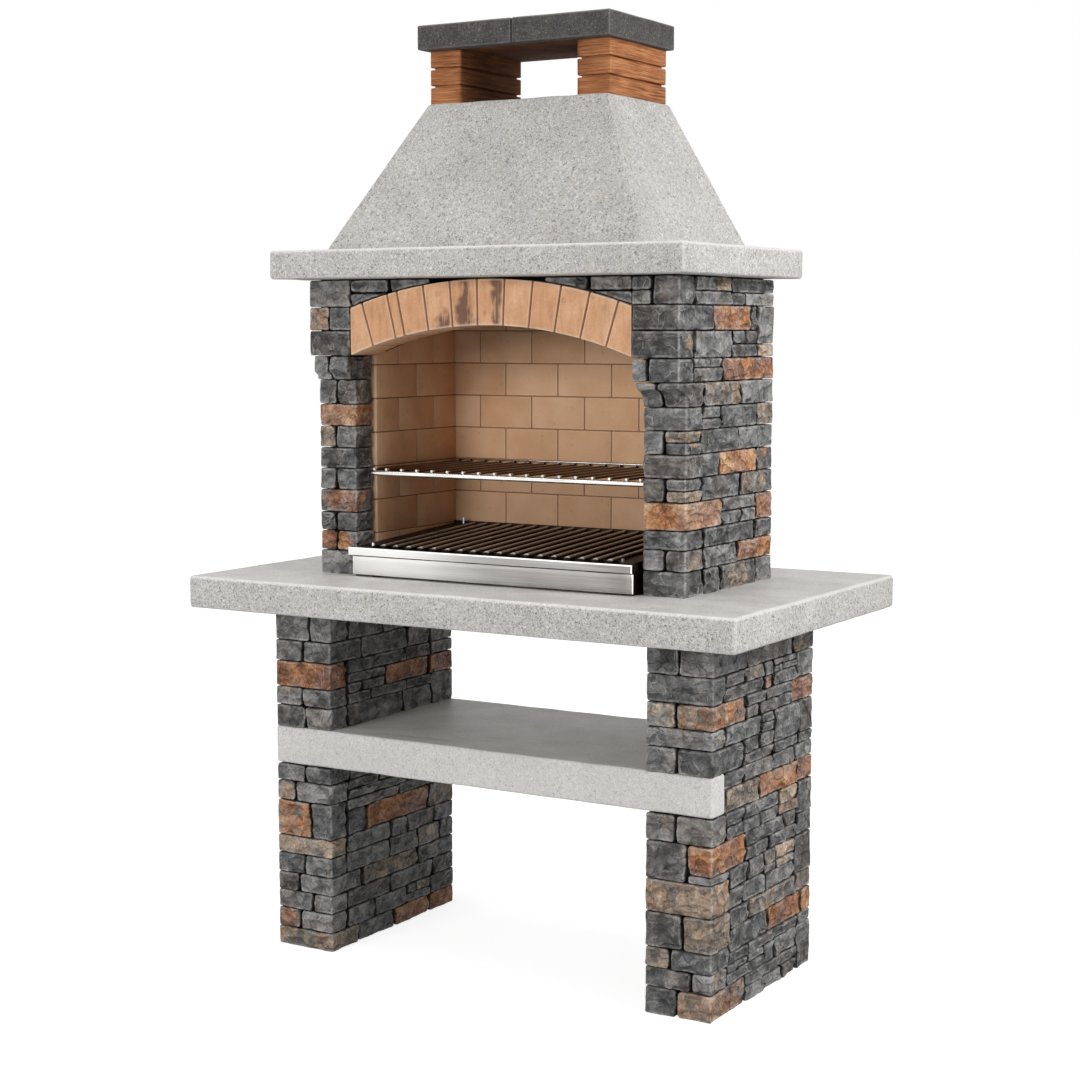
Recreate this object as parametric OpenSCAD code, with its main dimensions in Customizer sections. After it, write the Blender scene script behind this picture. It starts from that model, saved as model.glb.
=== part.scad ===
// Masonry barbecue: two stone-faced legs carry a shelf and a worktop, and on the worktop stand two
// stone-faced walls, a firebrick firebox under a segmental arch, a mantel, a smoke hood and a cap.
// Millimetres. The origin is on the floor under the middle of the worktop; the front faces -Y.

/* [Worktop] */
// Width of the worktop slab
worktop_width = 1410; // [1360:10:1500]
// Depth of the worktop slab, front to back
worktop_depth = 856; // [820:4:920]
// Height of the worktop surface above the floor
worktop_height = 900; // [860:5:940]
// Thickness of the worktop slab
worktop_thickness = 75; // [60:1:90]

/* [Legs and shelf] */
// Clear width between the two legs
leg_gap = 836; // [800:4:880]
// Width of each leg
leg_width = 160; // [140:2:180]
// Depth of each leg, front to back
leg_depth = 522; // [480:2:560]
// How far the legs stand forward of the worktop's middle
leg_forward = 6; // [0:1:20]
// Height of the shelf surface above the floor
shelf_height = 532; // [500:2:560]
// Thickness of the shelf slab
shelf_thickness = 88; // [70:1:100]
// How far back the shelf's end laps across the front of each leg
shelf_ear = 60; // [45:1:80]
// How far the shelf's sides go into each leg
shelf_bearing = 40; // [30:1:60]

/* [Upper walls] */
// Clear width between the two upper walls
wall_gap = 756; // [720:4:780]
// Width of each upper wall
wall_width = 104; // [94:1:120]
// Depth of each upper wall, front to back
wall_depth = 438; // [420:2:460]
// How far the upper walls stand back from the worktop's middle
wall_back = 8; // [0:1:20]
// Height of the upper walls
wall_height = 686; // [660:2:720]
// How far the corbel juts forward of the wall
corbel_jut = 36; // [28:1:42]
// How far the corbel reaches in towards the arch
corbel_reach = 10; // [6:1:16]

/* [Stone facing] */
// Thickness of the facing stones
stone_thickness = 20; // [16:1:26]
// Width of the mortar joints between the stones
joint = 4; // [3:0.5:8]
// How far the stones' corners are worn back
stone_wear = 5; // [2:0.5:8]

/* [Firebox] */
// Thickness of the firebricks
brick_thickness = 27; // [22:1:32]
// Length of a firebrick with its joint
brick_length = 148; // [120:2:180]
// Height of a firebrick with its joint
brick_height = 79.2; // [65:0.2:85]
// Height of the cut course at the foot of the lining
brick_start = 15; // [0:1:60]
// Width of the joints between the firebricks
brick_joint = 3; // [2:0.5:5]
// How far the lining stands proud of the walls' inner stone faces
lining_proud = 9; // [4:1:12]
// How far the lining starts behind the walls' fronts
lining_setback = 72; // [60:1:90]
// Thickness of the concrete panel that closes the back
back_thickness = 35; // [28:1:42]
// How far the panel's edges lie inside the walls' outer faces
back_inset = 42; // [30:1:60]

/* [Arch] */
// Rise of the arch from its ends to its crown
arch_rise = 68; // [58:1:74]
// Depth of the arch ring
arch_ring = 102; // [92:1:106]
// Width of the joints between the voussoirs
arch_joint = 4; // [2:0.5:6]
// Thickness of the concrete lintel behind the arch
lintel_thickness = 44; // [36:1:60]
// How far the lintel's ends go into the walls
lintel_bearing = 30; // [20:1:40]

/* [Mantel and hood] */
// Width of the mantel slab
mantel_width = 1066; // [1040:2:1100]
// Thickness of the mantel slab
mantel_thickness = 65; // [50:1:80]
// Overhang of the mantel in front of the corbels
mantel_front = 83; // [60:1:100]
// Overhang of the mantel behind the walls
mantel_rear = 45; // [42:1:60]
// Width of the hood at its base
hood_base_width = 824; // [800:4:860]
// Width of the hood at its top
hood_top_width = 472; // [460:2:500]
// Height of the hood
hood_height = 333; // [300:1:360]
// How far the hood's base stands in from the mantel's front and rear edges
hood_inset = [58, 38];
// How far the hood's front and rear faces lean in up to the top
hood_lean = [159, 59];
// Thickness of the hood's wall
hood_wall = 45; // [35:1:55]

/* [Chimney] */
// Width of each chimney block
block_width = 84; // [76:1:90]
// Number of courses in each chimney block
block_courses = 3; // [2:1:4]
// Height of each course
block_course = 40.4; // [34:0.2:46]
// Width and depth of the grooves between the courses
block_groove = 5; // [3:0.5:8]
// How far the blocks' front and rear ends stand in from the hood's top
block_inset = [10, 15];
// Thickness of the cap slabs
cap_thickness = 55; // [45:1:65]
// Overhang of the cap to each side, to the front and to the rear
cap_overhang = [15, 32, 12];
// Thickness of the soffit plate under the cap
soffit_thickness = 8; // [6:1:12]

/* [Ash drawer and fire grate] */
// How far the fat trough stands out in front of the walls
trough_forward = 39; // [30:1:50]
// Height of the trough's top edge above the worktop
trough_top = 69; // [62:1:76]
// Height of the trough's front
trough_height = 18; // [17:1:25]
// Depth of the trough, front to back
trough_depth = 28; // [24:1:36]
// Thickness of the steel sheet
sheet = 2; // [1.5:0.25:3]
// Clear gap between moving pieces
clearance = 4; // [3:0.5:6]
// Number of bars in the fire grate
grate_bars = 18; // [12:1:20]
// Diameter of the fire grate's bars
grate_bar_d = 12; // [8:1:14]
// Width of the fire grate over its side rails
grate_width = 666; // [640:2:680]
// How much higher the fire grate's bars lie at the back than at the front
grate_rise = 22; // [10:1:30]

/* [Cooking grill] */
// Height of the front rail's middle above the worktop
grill_height = 237; // [200:1:280]
// Width of the grill over its side rods
grill_width = 710; // [690:2:716]
// Diameter of the grill's front rail
grill_rail_d = 12; // [10:1:14]
// Diameter of the grill's rods
grill_rod_d = 6; // [5:0.5:8]
// Number of rods between the side rods
grill_rods = 16; // [12:1:20]
// Distance between the outermost of those rods
grill_rod_spread = 636; // [600:4:650]

/* [Hidden] */
$fn = 96;

// Colours
slate = [0.34, 0.35, 0.37];
concrete = [0.78, 0.77, 0.75];
mortar = [0.22, 0.21, 0.2];
firebrick = [0.68, 0.5, 0.36];
terracotta = [0.8, 0.58, 0.4];
charcoal = [0.3, 0.3, 0.31];
brown = [0.56, 0.36, 0.22];
steel = [0.76, 0.76, 0.77];
dark_steel = [0.3, 0.27, 0.25];

// Plan outlines, each [x0, y0, x1, y1], for the right-hand side; the left is its mirror image
leg_top = worktop_height - worktop_thickness;
leg_out = [leg_gap / 2, -leg_forward - leg_depth / 2, leg_gap / 2 + leg_width, leg_depth / 2 - leg_forward];
leg_core = leg_out + [1, 1, -1, -1] * stone_thickness;
shelf_under = shelf_height - shelf_thickness;
shelf_side = leg_gap / 2 + shelf_bearing;
ear_back = leg_out[1] + shelf_ear;

wall_out = [wall_gap / 2, wall_back - wall_depth / 2, wall_gap / 2 + wall_width, wall_back + wall_depth / 2];
lining_face = wall_gap / 2 - lining_proud;
core_face = lining_face + brick_thickness;
wall_core = [core_face, wall_out[1] + stone_thickness, wall_out[2] - stone_thickness,
    wall_out[3] - stone_thickness];
corbel_out = wall_out - [corbel_reach, corbel_jut, 0, 0];
corbel_core = wall_core - [0, corbel_jut, 0, 0];
lining_front = wall_out[1] + lining_setback;
lining_back = wall_out[3] - brick_thickness;

wall_top = worktop_height + wall_height;
mantel_top = wall_top + mantel_thickness;
hood_top = mantel_top + hood_height;
block_height = block_courses * block_course;
block_top = hood_top + block_height;

mantel_out = [-mantel_width / 2, corbel_out[1] - mantel_front, mantel_width / 2, wall_out[3] + mantel_rear];
smoke_hole = [-lining_face, lining_front + lintel_thickness, lining_face, lining_back];
hood_base = [-hood_base_width / 2, mantel_out[1] + hood_inset[0], hood_base_width / 2,
    mantel_out[3] - hood_inset[1]];
hood_rim = [-hood_top_width / 2, hood_base[1] + hood_lean[0],
    hood_top_width / 2, hood_base[3] - hood_lean[1]];
flue_half = hood_top_width / 2 - block_width - 4;
hood_base_in = hood_base + [1, 1, -1, -1] * hood_wall;
hood_rim_in = [-flue_half, hood_rim[1] + hood_wall, flue_half, hood_rim[3] - hood_wall];
block_out = [hood_top_width / 2 - block_width, hood_rim[1] + block_inset[0], hood_top_width / 2,
    hood_rim[3] - block_inset[1]];
cap_out = [0, block_out[1] - cap_overhang[1], block_out[2] + cap_overhang[0], block_out[3] + cap_overhang[2]];

// Stonework. Each face is laid in courses from the bottom up, each [height, cells]. A cell is a
// stone's length, or [length, courses] where smaller stones are stacked. All numbers are shares of
// the face. Fronts run from the inner edge out, sides from front to back.
left_leg_low = [
    [46, [160]], [46, [95, 65]], [44, [58, 102]], [44, [98, 62]], [47, [80, 80]], [43, [160]],
    [86, [60, 100]], [47, [105, 55]], [41, [77, 83]]
];
left_leg_low_side = [
    [46, [108, 147, 155, 112]],
    [46, [62, 114, 137, [102, [[22, [102]], [24, [40, 62]]]], 107]],
    [44, [62, 180, 186, 94]],
    [91, [[362, [[44, [125, 237]], [47, [62, 178, 122]]]], [160, [[43, [160]], [48, [100, 60]]]]]],
    [43, [62, 182, 72, 122, 84]],
    [86, [62, [460, [[60, [80, 268, 112]], [26, [220, 240]]]]]],
    [47, [68, [454, [[24, [250, 204]], [23, [130, 190, 134]]]]]],
    [41, [78, 150, 160, 134]]
];
left_leg_high = [
    [54, [74, 86]], [44, [82, 78]], [62, [160]], [50, [80, 80]], [83, [60, 100]]
];
left_leg_high_side = [
    [160, [[70, [[54, [70]], [44, [70]], [62, [70]]]], [452, [
        [80, [[355, [[54, [230, 125]], [26, [100, 145, 110]]]], 97]],
        [48, [[155, [[24, [60, 95]], [24, [155]]]], 190, 107]],
        [32, [245, 105, 102]]]]]],
    [50, [126, 196, 98, 102]],
    [83, [75, 140, 180, 127]]
];
right_leg_low = [
    [62, [77, 83]], [44, [112, 48]], [44, [60, 100]], [78, [90, 70]], [72, [160]],
    [84, [100, [60, [[18, [60]], [66, [60]]]]]], [60, [72, 88]]
];
right_leg_low_side = [
    [106, [[445, [
        [62, [172, [273, [[34, [190, 83]], [28, [273]]]]]],
        [44, [80, [186, [[26, [186]], [18, [100, 86]]]], 58, 121]]]], 77]],
    [122, [[88, [[44, [88]], [78, [88]]]], [434, [
        [26, [97, 260, 77]], [53, [197, 180, 57]], [43, [102, 250, 82]]]]]],
    [90, [[85, [[72, [85]], [18, [85]]]], [180, [[45, [75, 105]], [45, [100, 80]]]],
        [162, [[38, [162]], [20, [62, 100]], [32, [60, 102]]]], 95]],
    [126, [[440, [
        [66, [168, [272, [[32, [120, 152]], [34, [200, 72]]]]]],
        [60, [70, [272, [[28, [172, 100]], [32, [90, 182]]]], [98, [[25, [98]], [35, [98]]]]]]]],
        [82, [[50, [82]], [76, [82]]]]]]
];
right_leg_high = [
    [57, [74, 86]], [43, [160]], [53, [72, 88]], [60, [160]], [80, [78, 82]]
];
right_leg_high_side = [
    [100, [[310, [
        [57, [152, [158, [[26, [158]], [31, [86, 72]]]]]],
        [43, [60, 185, [65, [[22, [65]], [21, [65]]]]]]]],
        [137, [[24, [137]], [76, [137]]]], [75, [[24, [75]], [76, [75]]]]]],
    [53, [162, [243, [[28, [75, 168]], [25, [105, 138]]]], 117]],
    [60, [58, [198, [[30, [198]], [30, [100, 98]]]], [50, [[28, [50]], [32, [50]]]],
        [124, [[30, [124]], [16, [50, 74]], [14, [124]]]], 92]],
    [80, [168, 242, 112]]
];
shelf_band = [[52, [177, 200, 85]], [36, [92, 150, 118, 102]]];
left_wall = [
    [57, [104]], [46, [58, 46]], [44, [59, 45]], [53, [104]], [50, [56, 48]], [48, [104]],
    [51, [57, 47]], [51, [104]], [57, [54, 50]]
];
left_wall_side = [
    [57, [88, 150, 200]], [46, [120, [188, [[24, [90, 98]], [22, [188]]]], 130]],
    [44, [78, 142, 218]], [53, [166, 184, 88]], [50, [86, 184, 168]],
    [48, [158, [152, [[22, [152]], [26, [80, 72]]]], 128]], [51, [78, 166, 194]],
    [51, [175, 184, 79]], [57, [88, 174, 176]]
];
left_corbel = [[55, [56, 58]], [58, [114]], [54, [56, 58]], [62, [114]]];
left_corbel_side = [
    [55, [80, 144, 250]], [58, [85, 180, [130, [[28, [130]], [30, [60, 70]]]], 79]],
    [54, [175, 190, 109]], [62, [90, 180, [204, [[30, [204]], [32, [80, 124]]]]]]
];
right_wall = [
    [57, [104]], [46, [53, 51]], [42, [104]], [60, [104]], [51, [53, [51, [[25, [51]], [26, [51]]]]]],
    [51, [104]], [51, [50, [54, [[26, [54]], [25, [54]]]]]], [50, [104]]
];
right_wall_side = [
    [57, [86, 84, 182, 86]], [46, [88, 168, 182]], [42, [86, 262, 90]],
    [60, [174, [177, [[30, [97, 80]], [30, [177]]]], 87]],
    [51, [[77, [[25, [77]], [26, [77]]]], 190, 171]], [51, [160, 194, 84]],
    [51, [[72, [[26, [72]], [25, [72]]]], 178, 188]],
    [50, [77, [90, [[24, [90]], [26, [90]]]], 182, 89]]
];
right_corbel = [
    [53, [50, 54]], [51, [38, 76]], [59, [114]], [54, [114]], [61, [[48, [[31, [48]], [30, [48]]]], 66]]
];
right_corbel_side = [
    [53, [119, 184, 171]],
    [51, [66, [142, [[31, [142]], [20, [142]]]], 266]],
    [113, [[385, [
        [59, [70, 187, [128, [[29, [128]], [30, [70, 58]]]]]], [54, [164, 188, 33]]]],
        [89, [[28, [89]], [85, [89]]]]]],
    [61, [73, [184, [[31, [184]], [30, [184]]]], [217, [[28, [62, 155]], [33, [217]]]]]]
];

// Sum of the first n of the sizes in a list of cells or courses
function size_of(c) = is_list(c) ? c[0] : c;
function total(v, n) = n <= 0 ? 0 : size_of(v[n - 1]) + total(v, n - 1);
function whole(v) = total(v, len(v));
// The stones at the near or far end of a face go on round the corner at the same levels
function end_courses(rows, far) = [for (r = rows) let (c = r[1][far ? len(r[1]) - 1 : 0])
    [r[0], is_list(c) ? [[1, end_courses(c[1], far)]] : [1]]];
function rear_courses(rows) = [for (i = [0:len(rows) - 1]) let (c = rows[i][1], last = c[len(c) - 1])
    [rows[i][0], is_list(last) ? [[1, rear_courses(last[1])]] : i % 2 == 0 ? [3, 5] : [5, 3]]];

// The corbels' upper three courses start at the same part of the height on both walls
corbel_start = 1 - (whole(right_corbel) - total(right_corbel, 2)) / (whole(right_wall) + whole(right_corbel));

// Arch: the ring's centre lies below its crown on the middle line
arch_half = corbel_out[0] - 2;
arch_foot = worktop_height + wall_height * corbel_start;
arch_in = (arch_half * arch_half + arch_rise * arch_rise) / (2 * arch_rise);
arch_out = arch_in + arch_ring;
arch_centre = arch_foot + arch_rise - arch_in;
arch_front = corbel_out[1] + 3;
lintel_radius = arch_in + 8;
voussoir_widths = [1, 1, 0.38, 1, 1, 1, 1, 1, 1, 1, 1, 1];

// Steel insert
trough_out = [-(wall_gap / 2 - 5), wall_out[1] - trough_forward, wall_gap / 2 - 5,
    wall_out[1] - trough_forward + trough_depth];
trough_under = worktop_height + trough_top - trough_height + sheet;
frame_half = lining_face - 3;
frame_front = trough_out[1] + 18;
frame_back = lining_back - 10;
flange_in = grate_width / 2 - 11;
pan_half = frame_half - sheet - clearance;
pan_front = frame_front - clearance - sheet;
pan_back = frame_back - sheet - clearance;
pan_floor = worktop_height + 5;
pan_top = trough_under - 9;
skid_width = 20;
grate_seat = trough_under + sheet;
grate_front = trough_out[3] + 4;
grate_back = frame_back - 8;
grate_rail = 6;
grate_border = lining_face - 6;
grate_low = worktop_height + trough_top + 1;
grate_slope = atan(grate_rise / (grate_back - grate_front));
grate_spread = grate_width - grate_rail - 60;
peg_d = 8;

// Cooking grill
grill_z = worktop_height + grill_height;
grill_front = lining_front - 31;
grill_back = lining_back - 10;
grill_rear_d = 7;
rod_z = grill_z + (grill_rail_d + grill_rod_d) / 2;
rear_rail_z = rod_z + (grill_rod_d + grill_rear_d) / 2;
side_rod_x = (grill_width - grill_rod_d) / 2;
ledge_width = lining_face - side_rod_x + 5;
ledge_leg = 12;
ledge_sheet = 3;

// Basic shapes
module block(x0, y0, z0, x1, y1, z1) {
    translate([x0, y0, z0]) cube([x1 - x0, y1 - y0, z1 - z0]);
}

module column(plan, z0, z1) {
    block(plan[0], plan[1], z0, plan[2], plan[3], z1);
}

module patch(x0, y0, x1, y1) {
    translate([x0, y0]) square([x1 - x0, y1 - y0]);
}

module left_side() {
    mirror([1, 0, 0]) children();
}

module both_sides() {
    children();
    left_side() children();
}

// A rectangle with its four corners rounded
module soft_rectangle(x0, y0, x1, y1, r) {
    patch(x0 + r, y0, x1 - r, y1);
    patch(x0, y0 + r, x1, y1 - r);
    for (x = [x0 + r, x1 - r], y = [y0 + r, y1 - r]) translate([x, y]) circle(r);
}

// A slab whose edges are rounded in all three directions
module soft_slab(plan, z0, z1, edge, corner) {
    intersection() {
        translate([0, 0, z0]) linear_extrude(z1 - z0)
            soft_rectangle(plan[0], plan[1], plan[2], plan[3], corner);
        translate([0, plan[3], 0]) rotate([90, 0, 0]) linear_extrude(plan[3] - plan[1])
            soft_rectangle(plan[0], z0, plan[2], z1, edge);
        translate([plan[0], 0, 0]) rotate([90, 0, 90]) linear_extrude(plan[2] - plan[0])
            soft_rectangle(plan[1], z0, plan[3], z1, edge);
    }
}

// A truncated pyramid between two rectangles, as two wedges that cross
module frustum(low, high, z0, z1) {
    y0 = min(low[1], high[1]);
    y1 = max(low[3], high[3]);
    x0 = min(low[0], high[0]);
    x1 = max(low[2], high[2]);
    intersection() {
        translate([0, y1, 0]) rotate([90, 0, 0]) linear_extrude(y1 - y0)
            polygon([[low[0], z0], [low[2], z0], [high[2], z1], [high[0], z1]]);
        translate([x0, 0, 0]) rotate([90, 0, 90]) linear_extrude(x1 - x0)
            polygon([[low[1], z0], [low[3], z0], [high[3], z1], [high[1], z1]]);
    }
}

// Stone facing. Courses are drawn flat, then stood against the core's faces. A stone that turns a
// corner is met there by the next face's stone of the same height, and the two are one piece.
module lay(x0, z0, x1, z1, courses, turns) {
    unit = (z1 - z0) / whole(courses);
    for (i = [0:len(courses) - 1]) {
        cells = courses[i][1];
        last = len(cells) - 1;
        run = (x1 - x0) / whole(cells);
        za = z0 + total(courses, i) * unit;
        zb = z0 + total(courses, i + 1) * unit;
        for (k = [0:last]) {
            xa = x0 + total(cells, k) * run;
            xb = x0 + total(cells, k + 1) * run;
            ends = [turns[0] && k == 0, turns[1] && k == last];
            if (is_list(cells[k])) lay(xa, za, xb, zb, cells[k][1], ends);
            else stone(xa + (ends[0] ? 0 : joint / 2), za, xb - (ends[1] ? 0 : joint / 2), zb - joint, ends);
        }
    }
}

// A stone's outline: its corners are worn back unevenly, except where it turns the wall's corner
function worn(x, z, limit) = min(limit / 3, stone_wear * (0.65 + 0.35 * sin(41 * x + 97 * z)));
function nick(x, z, c, p, q) = c == 0 ? [[x, z]] : [[x, z] + c * p, [x, z] + c * q];

module stone(x0, z0, x1, z1, turns) {
    limit = min(x1 - x0, z1 - z0);
    function cut(x, z, end) = turns[end] ? 0 : worn(x, z, limit);
    polygon(concat(
        nick(x0, z0, cut(x0, z0, 0), [0, 0.8], [1.4, 0]), nick(x1, z0, cut(x1, z0, 1), [-1.4, 0], [0, 0.8]),
        nick(x1, z1, cut(x1, z1, 1), [0, -0.8], [-1.4, 0]),
        nick(x0, z1, cut(x0, z1, 0), [1.4, 0], [0, -0.8])));
}

module front_face(out, core, z0, z1, courses) {
    translate([out[0], core[1], 0]) rotate([90, 0, 0]) linear_extrude(core[1] - out[1])
        lay(0, z0, out[2] - out[0], z1, courses, [true, true]);
}

module rear_face(x0, out, core, z0, z1, courses, turns) {
    translate([x0, out[3], 0]) rotate([90, 0, 0]) linear_extrude(out[3] - core[3])
        lay(0, z0, out[2] - x0, z1, courses, turns);
}

module side_face(x0, x1, y0, y1, z0, z1, courses, turns) {
    translate([x0, y0, 0]) rotate([90, 0, 90]) linear_extrude(x1 - x0)
        lay(0, z0, y1 - y0, z1, courses, turns);
}

// Legs
module leg_core_solid() {
    difference() {
        column(leg_core, 0, leg_top);
        block(leg_core[0] - 1, leg_core[1] - 1, shelf_under, shelf_side, leg_core[3] + 1, shelf_height);
        block(leg_core[0] - 1, leg_core[1] - 1, shelf_under, leg_core[2] + 1, ear_back, shelf_height);
    }
}

module leg_stage(z0, z1, front, side) {
    front_face(leg_out, leg_core, z0, z1, front);
    side_face(leg_core[2], leg_out[2], leg_out[1], leg_out[3], z0, z1, side, [true, true]);
    side_face(leg_out[0], leg_core[0], leg_out[1], leg_out[3], z0, z1, side, [true, true]);
    rear_face(leg_out[0], leg_out, leg_core, z0, z1, rear_courses(side), [true, true]);
}

// The stones level with the shelf lie only behind its ear and beside its rear corner
module leg_stones(front_low, side_low, front_high, side_high) {
    leg_stage(0, shelf_under, front_low, side_low);
    leg_stage(shelf_height, leg_top, front_high, side_high);
    side_face(leg_core[2], leg_out[2], ear_back + joint / 2, leg_out[3], shelf_under, shelf_height,
        shelf_band, [false, true]);
    rear_face(shelf_side + joint / 2, leg_out, leg_core, shelf_under, shelf_height,
        end_courses(shelf_band, true), [false, true]);
}

module left_leg_core() {
    color(mortar) left_side() leg_core_solid();
}

module right_leg_core() {
    color(mortar) leg_core_solid();
}

module left_leg_stones() {
    color(slate) left_side()
        leg_stones(left_leg_low, left_leg_low_side, left_leg_high, left_leg_high_side);
}

module right_leg_stones() {
    color(slate) leg_stones(right_leg_low, right_leg_low_side, right_leg_high, right_leg_high_side);
}

// Slabs
module shelf_slab() {
    body = [-shelf_side, leg_out[1], shelf_side, leg_out[3]];
    ears = [-leg_out[2], leg_out[1], leg_out[2], ear_back];
    color(concrete) {
        column(body, shelf_under, shelf_height);
        column(ears, shelf_under, shelf_height);
    }
}

module worktop_slab() {
    plan = [-worktop_width / 2, -worktop_depth / 2, worktop_width / 2, worktop_depth / 2];
    color(concrete) soft_slab(plan, leg_top, worktop_height, 8, 10);
}

module mantel_slab() {
    color(concrete) difference() {
        soft_slab(mantel_out, wall_top, mantel_top, 7, 8);
        column(smoke_hole, wall_top - 1, mantel_top + 1);
    }
}

// Upper walls
module wall_core_solid(nib_start) {
    difference() {
        union() {
            column(wall_core, worktop_height, wall_top);
            column(corbel_core, worktop_height + nib_start, wall_top);
        }
        block(core_face - 1, lining_front, arch_foot, core_face + lintel_bearing,
            lining_front + lintel_thickness, wall_top + 1);
    }
}

module left_wall_core() {
    color(mortar) left_side() wall_core_solid(wall_height * corbel_start);
}

module right_wall_core() {
    unit = wall_height / (whole(right_wall) + whole(right_corbel));
    color(mortar) wall_core_solid(wall_height * corbel_start - right_corbel[1][0] * unit);
}

// The walls' front stones turn inwards as far as the lining, and the rear ones behind the core
module wall_stage(out, core, z0, z1, front, side) {
    front_face(out, core, z0, z1, front);
    side_face(core[2], out[2], out[1], out[3], z0, z1, side, [true, true]);
    side_face(out[0], core[0], out[1], lining_front, z0, z1, end_courses(front, false), [true, false]);
    rear_face(core[0], out, core, z0, z1, end_courses(side, true), [false, true]);
}

module wall_stones(front, side, corbel) {
    wall_stage(wall_out, wall_core, worktop_height, corbel_foot(front, corbel), front, side);
}

function corbel_foot(wall, corbel) =
    worktop_height + wall_height * whole(wall) / (whole(wall) + whole(corbel));

// The lowest corbel course is hollowed to a quarter round, and the ones above it stand forward
module corbel_stones(wall, front, side) {
    foot = corbel_foot(wall, front);
    second = foot + (wall_top - foot) * front[0][0] / whole(front);
    curved = [wall_out[0], corbel_out[1], wall_out[2], wall_out[3]];
    difference() {
        wall_stage(curved, wall_core, foot, second, [front[0]], [side[0]]);
        translate([wall_out[0] - 1, corbel_out[1], foot]) rotate([0, 90, 0]) cylinder(r = corbel_jut,
            h = wall_width + 2);
    }
    wall_stage(corbel_out, corbel_core, second, wall_top, above(front), above(side));
}

function above(rows) = [for (i = [1:len(rows) - 1]) rows[i]];

module left_wall_stones() {
    color(slate) left_side() wall_stones(left_wall, left_wall_side, left_corbel);
}

module right_wall_stones() {
    color(slate) wall_stones(right_wall, right_wall_side, right_corbel);
}

module left_corbel_stones() {
    color(slate) left_side() corbel_stones(left_wall, left_corbel, left_corbel_side);
}

module right_corbel_stones() {
    color(slate) corbel_stones(right_wall, right_corbel, right_corbel_side);
}

// Firebox lining: bricks in running bond, laid from x0 to x1 along X, standing on the worktop. The
// lowest course is cut down, and no brick is cut shorter than 30 mm: the one beside it is longer.
module brickwork(x0, x1, height, shift) {
    for (r = [0:ceil((height - brick_start) / brick_height)]) {
        start = shift + ((r + 1) % 2) * brick_length / 2;
        first = floor((x0 - start) / brick_length);
        last = ceil((x1 - start) / brick_length);
        inner = [for (k = [first:last]) let (x = start + k * brick_length) if (x > x0 + 30 && x < x1 - 30) x];
        cuts = concat([x0 - brick_joint / 2], inner, [x1 + brick_joint / 2]);
        z0 = max(0, brick_start + (r - 1) * brick_height);
        z1 = min(height, brick_start + r * brick_height - brick_joint);
        if (z1 - z0 > 6) for (k = [1:len(cuts) - 1])
            block(cuts[k - 1] + brick_joint / 2, 0, z0, cuts[k] - brick_joint / 2, brick_thickness, z1);
    }
}

module back_lining() {
    color(firebrick) translate([0, lining_back, worktop_height])
        brickwork(-core_face, core_face, wall_height, 0);
}

module side_lining_solid() {
    difference() {
        translate([core_face, 0, worktop_height]) rotate([0, 0, 90])
            brickwork(lining_front, lining_back, wall_height, -46);
        block(lining_face - 1, lining_front - 1, arch_foot, core_face + 1,
            lining_front + lintel_thickness, wall_top + 1);
    }
}

module left_lining() {
    color(firebrick) left_side() side_lining_solid();
}

module right_lining() {
    color(firebrick) side_lining_solid();
}

module back_panel() {
    half = wall_out[2] - back_inset;
    color(concrete) block(-half, wall_out[3], worktop_height, half, wall_out[3] + back_thickness, wall_top);
}

// Arch: shapes drawn face on, then stood up and given their depth from the front to the back
module stood_up(front, back) {
    translate([0, back, arch_centre]) rotate([90, 0, 0]) linear_extrude(back - front) children();
}

module arch_lintel() {
    half = core_face + lintel_bearing;
    color(mortar) stood_up(lining_front, lining_front + lintel_thickness) difference() {
        patch(-half, arch_foot - arch_centre, half, wall_top - arch_centre);
        circle(lintel_radius, $fn = 360);
    }
}

module voussoir(a0, a1) {
    reach = 2 * arch_out;
    intersection() {
        difference() {
            circle(arch_out, $fn = 360);
            circle(arch_in, $fn = 360);
        }
        polygon([[0, 0], [reach * sin(a0), reach * cos(a0)], [reach * sin(a1), reach * cos(a1)]]);
        patch(-arch_half, 0, arch_half, reach);
    }
}

module arch_voussoirs() {
    n = len(voussoir_widths);
    foot = asin(arch_half / arch_in);
    all = wedge_sum(n);
    gap = arch_joint / 2 / (arch_in + arch_ring / 2) * 180 / PI;
    color(terracotta) for (i = [0:n - 1]) {
        a0 = -foot + 2 * foot * wedge_sum(i) / all;
        a1 = -foot + 2 * foot * wedge_sum(i + 1) / all;
        stood_up(arch_front, lining_front) voussoir(a0 + (i > 0 ? gap : 0), a1 - (i < n - 1 ? gap : 0));
    }
}

function wedge_sum(n) = n <= 0 ? 0 : voussoir_widths[n - 1] + wedge_sum(n - 1);

// Small stones fill the corners between the arch and the mantel, in two courses
module spandrel_stones() {
    top = wall_top - arch_centre - 3;
    middle = top - (top - spandrel_line(arch_half)) / 2;
    upper = [[0.41, 0.7], [0.72, 1]];
    lower = [[0.55, 0.71], [0.73, 1]];
    color(slate) both_sides() stood_up(arch_front + 2, lining_front) {
        for (s = upper) spandrel(s, middle + joint / 2, top);
        for (s = lower) spandrel(s, 0, middle - joint / 2);
    }
}

function spandrel_line(x) = sqrt(pow(arch_out + 3, 2) - x * x);

module spandrel(span, z0, z1) {
    difference() {
        patch(span[0] * arch_half, z0, span[1] * arch_half, z1);
        circle(arch_out + 3, $fn = 360);
    }
}

// Hood and chimney
module hood() {
    over = 1 / hood_height;
    color(concrete) difference() {
        frustum(hood_base, hood_rim, mantel_top, hood_top);
        frustum(hood_base_in - (hood_rim_in - hood_base_in) * over,
            hood_rim_in + (hood_rim_in - hood_base_in) * over, mantel_top - 1, hood_top + 1);
    }
}

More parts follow.
